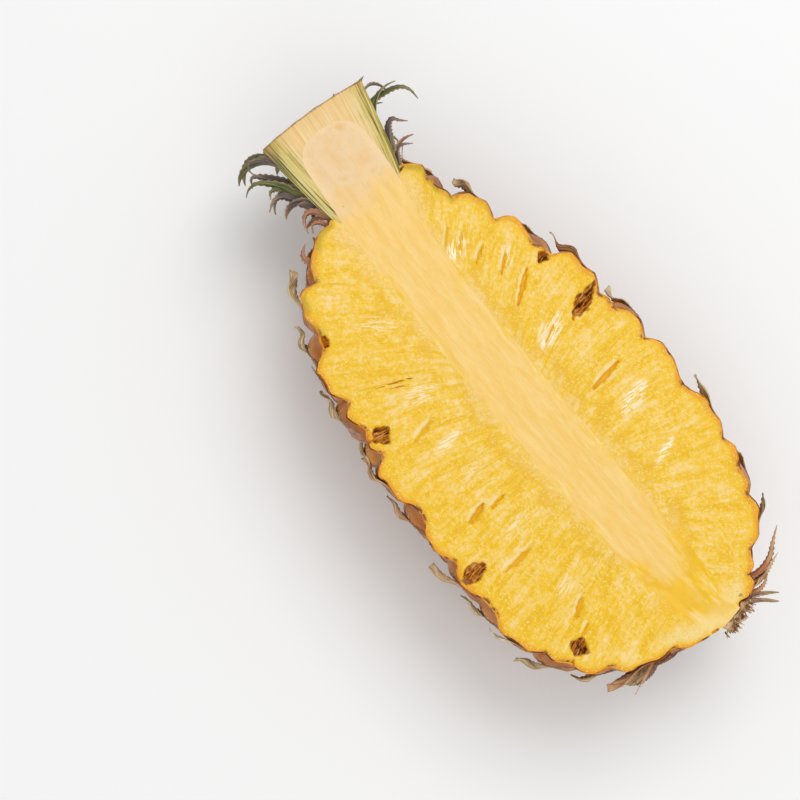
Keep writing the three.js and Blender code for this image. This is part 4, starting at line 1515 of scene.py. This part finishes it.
UNDER_TURN = 0.5
RUSTY_UNDER = 5
LEAF_THICKNESS = 0.4
SHARE = np.linspace(0, 1, BLADE_ROWS + 1)


def add_shown_leaf(bm, n, leaf):
    shade, wide, first_turn, last_turn, points = leaf
    line = spline(points, BLADE_ROWS)
    along = unit(np.gradient(line, axis=0))
    upright = unit(np.array([0, 0, 1.0]) - along * along[:, 2:3])
    flat = unit(np.cross(along, upright))
    twist = np.radians(first_turn + (last_turn - first_turn) * SHARE)[:, None]
    side = upright * np.cos(twist) + flat * np.sin(twist)
    taper = 0.9 * wide * np.interp(SHARE, *SHOWN_TAPER)
    add_blade(bm, line, side, taper, (0.45, 0.3), (shade + 0.04 * draw(n, 31), 0.4))


def add_under_leaf(bm, n):
    """A leaf below the cut: it leaves the bundle along it, then curls back."""
    out, round_ = radial(n * GOLDEN_ANGLE + UNDER_TURN)
    up = n / UNDER_LEAVES
    root_x = CROWN_START_X - 1 + (CROWN_END_X - CROWN_START_X - 7) * up
    root = out * (crown_radius(root_x) - 1.0) + np.array([root_x, crown_middle(root_x), 0])
    length = 14 + 9 * up + 8 * draw(n, 4)
    bend = 0.12 + 0.25 * draw(n, 6) + (1.4 + 1.6 * draw(n, 7)) * SHARE**1.6
    drift = (draw(n, 8) - 0.5) * 0.9 * SHARE
    heading = np.outer(np.cos(bend), [1, 0, 0]) + np.outer(np.sin(bend), out) + np.outer(drift, round_)
    twist = (draw(n, 9) - 0.5) * 1.6 * SHARE[:, None]
    taper = (3.2 + 1.8 * draw(n, 5)) * np.interp(SHARE, *UNDER_TAPER)
    shade = RUST if n < RUSTY_UNDER else 0.1 + 0.55 * draw(n, 10)
    add_grown_blade(bm, root, heading, length, 4, round_, twist, taper, (0.5, -0.3), (shade, 0.8))


def make_crown_leaves():
    bm = new_mesh("Blade", BLADE_VALUES)
    for n in range(UNDER_LEAVES):
        if math.sin(n * GOLDEN_ANGLE + UNDER_TURN) > 0.1:
            add_under_leaf(bm, n)
    trim_at_cut(bm)
    for n, leaf in enumerate(SHOWN_LEAVES):
        add_shown_leaf(bm, n, leaf)
    finish_blades(bm, "crown_leaves", LEAF, LEAF_THICKNESS)


make_crown_leaves()

# %% [markdown]
# The stalk broke off and dried: a short brown plug with torn fibres, and a few papery bracts that grew
# round it. The plug is a cone with its rim roughened by noise, cut flat at the cut face.

# %% Stalk
STALK_Y = -13
STALK_TILT = math.radians(16)
PLUG_R = 7.4
PLUG_X = -97.8
PLUG_TOP_R = 6
PLUG_DEPTH = 5
PLUG_SEGMENTS = 72
PLUG_RINGS = 4
PLUG_RING_WIDTH = 1.5
PLUG_CUTS = 7
TUFT_FIBRES = 170
TUFT_ROWS = 4
TUFT_TAPER = np.array([1, 0.9, 0.7, 0.5, 0.1])
TUFT_TRIM = 0.6
BASE_BRACTS = 30
BASE_TURN = 0.2
BASE_TAPER = ([0, 0.3, 0.7, 0.9, 1], [1.1, 1.0, 0.62, 0.3, 0.05])
SHOWN_BRACTS = [
    (0.95, 1.6, 30, 70, [(-90, -24, -3), (-91.5, -30, -2.4), (-90, -36, -1.6), (-86, -41, -1.2),
                         (-82.6, -45.5, -0.8)]),
    (0.85, 1.2, 40, 75, [(-91.5, -23, -3), (-94, -29, -2), (-92.5, -34, -1.4), (-90.5, -39.6, -1)]),
    (0.9, 1.2, 40, 70, [(-93, -20, -3), (-96.4, -25, -2), (-96, -29, -1.4), (-94, -32, -1.6)]),
    (0.95, 0.7, 50, 70, [(-91, 17, -3), (-94, 22, -2.4), (-96, 27, -2), (-98.4, 33.4, -1.6)]),
]
# Lays what is made upright onto the base: its top looks out along the stalk.
TO_STALK = (Matrix.Translation((PLUG_X, STALK_Y, 0)) @ Matrix.Rotation(STALK_TILT, 4, "Z")
            @ Matrix.Rotation(math.radians(-90), 4, "Y"))


def make_plug():
    bm = new_mesh("Blade", [])
    bmesh.ops.create_cone(bm, cap_ends=True, segments=PLUG_SEGMENTS, radius1=PLUG_R, radius2=PLUG_TOP_R,
                          depth=PLUG_DEPTH)
    caps = [face for face in bm.faces if len(face.verts) > 4]
    for _ in range(PLUG_RINGS):
        bmesh.ops.inset_region(bm, faces=caps, thickness=PLUG_RING_WIDTH)
    walls = [edge for edge in bm.edges if abs(edge.verts[0].co.z - edge.verts[1].co.z) > 1]
    bmesh.ops.subdivide_edges(bm, edges=walls, cuts=PLUG_CUTS, use_grid_fill=True)
    x, y, z = np.array([vert.co for vert in bm.verts]).T
    rough = value_noise(x, y, 17, 0.5) + 0.7 * value_noise(x, y, 18, 1.2)
    crumb = value_noise(x + y, z + y, 19, 0.7)
    swell = 1 + 0.16 * crumb
    put(bm.verts, x * swell, y * swell, z + np.where(z > 0.4 * PLUG_DEPTH, 1.8 * rough, 0.3 * crumb))
    bmesh.ops.transform(bm, matrix=TO_STALK, verts=bm.verts)
    trim_at_cut(bm, 0)
    bmesh.ops.holes_fill(bm, edges=boundary(bm), sides=0)
    x, y, z = np.array([vert.co for vert in bm.verts]).T
    write_map(bm, list(bm.verts), 0.5 + np.arctan2(z, y - STALK_Y) * 0.1, x * MAP_PER_MM)
    finish_piece(bm, "stalk_plug", [TORN], ["stalk"])


def add_base_bract(bm, n):
    """A papery bract beside the stalk, which hugs the base and lifts its tip."""
    out, round_ = radial(n * GOLDEN_ANGLE + BASE_TURN)
    start = 12 + 14 * draw(n, 12)
    base_x = np.interp(start, table_width[:200], TABLE_X[:200])
    root = out * start + np.array([base_x + 0.6, middle(base_x), 0])
    bend = 1.15 + 0.35 * draw(n, 10) + (draw(n, 11) - 0.35) * 1.5 * SHARE
    heading = np.outer(-np.cos(bend), [1, 0, 0]) + np.outer(np.sin(bend), out)
    twist = (draw(n, 13) - 0.5) * 1.4 * SHARE[:, None]
    taper = (3.4 + 2.4 * draw(n, 9)) * np.interp(SHARE, *BASE_TAPER)
    length = 11 + 11 * draw(n, 8)
    tones = (0.9 * draw(n, 14), 0.5)
    add_grown_blade(bm, root, heading, length, 3, round_, twist, taper, (0.5, 0.35), tones)


def add_tuft_fibre(bm, n):
    """A torn fibre at the broken end of the stalk."""
    turn = 2 * math.pi * draw(n, 41)
    r = PLUG_R * (0.2 + 0.85 * draw(n, 42))
    root = np.array([r * math.cos(turn), r * math.sin(turn), 0.3 * PLUG_DEPTH])
    sideways = np.array([draw(n, 43) - 0.5, draw(n, 44) - 0.5, 0]) * 5
    tip = root + np.array([0, 0, 1.4 + 2.6 * draw(n, 45)]) + sideways
    line = spline([root, (root + tip) / 2 + sideways * 0.25, tip], TUFT_ROWS)
    placed = np.array([TO_STALK @ Vector(point) for point in line])
    placed[:, 0] = np.maximum(placed[:, 0], LOWEST_X)
    side = np.tile(unit(np.array([0.3, math.sin(turn * 3), math.cos(turn * 3)])), (TUFT_ROWS + 1, 1))
    add_blade(bm, placed, side, (0.25 + 0.3 * draw(n, 46)) * TUFT_TAPER, (0.0, 0.0), (0.5, 0.5))


def make_tuft():
    bm = new_mesh("Blade", BLADE_VALUES)
    for n in range(TUFT_FIBRES):
        add_tuft_fibre(bm, n)
    trim_at_cut(bm, TUFT_TRIM)
    finish_blades(bm, "stalk_tuft", TORN)


def make_stalk_bracts():
    bm = new_mesh("Blade", BLADE_VALUES)
    for n in range(BASE_BRACTS):
        if math.sin(n * GOLDEN_ANGLE + BASE_TURN) > 0.3:
            add_base_bract(bm, n)
    trim_at_cut(bm)
    for n, leaf in enumerate(SHOWN_BRACTS):
        add_shown_leaf(bm, n, leaf)
    finish_blades(bm, "stalk_bracts", BRACT)


make_plug()
make_tuft()
make_stalk_bracts()
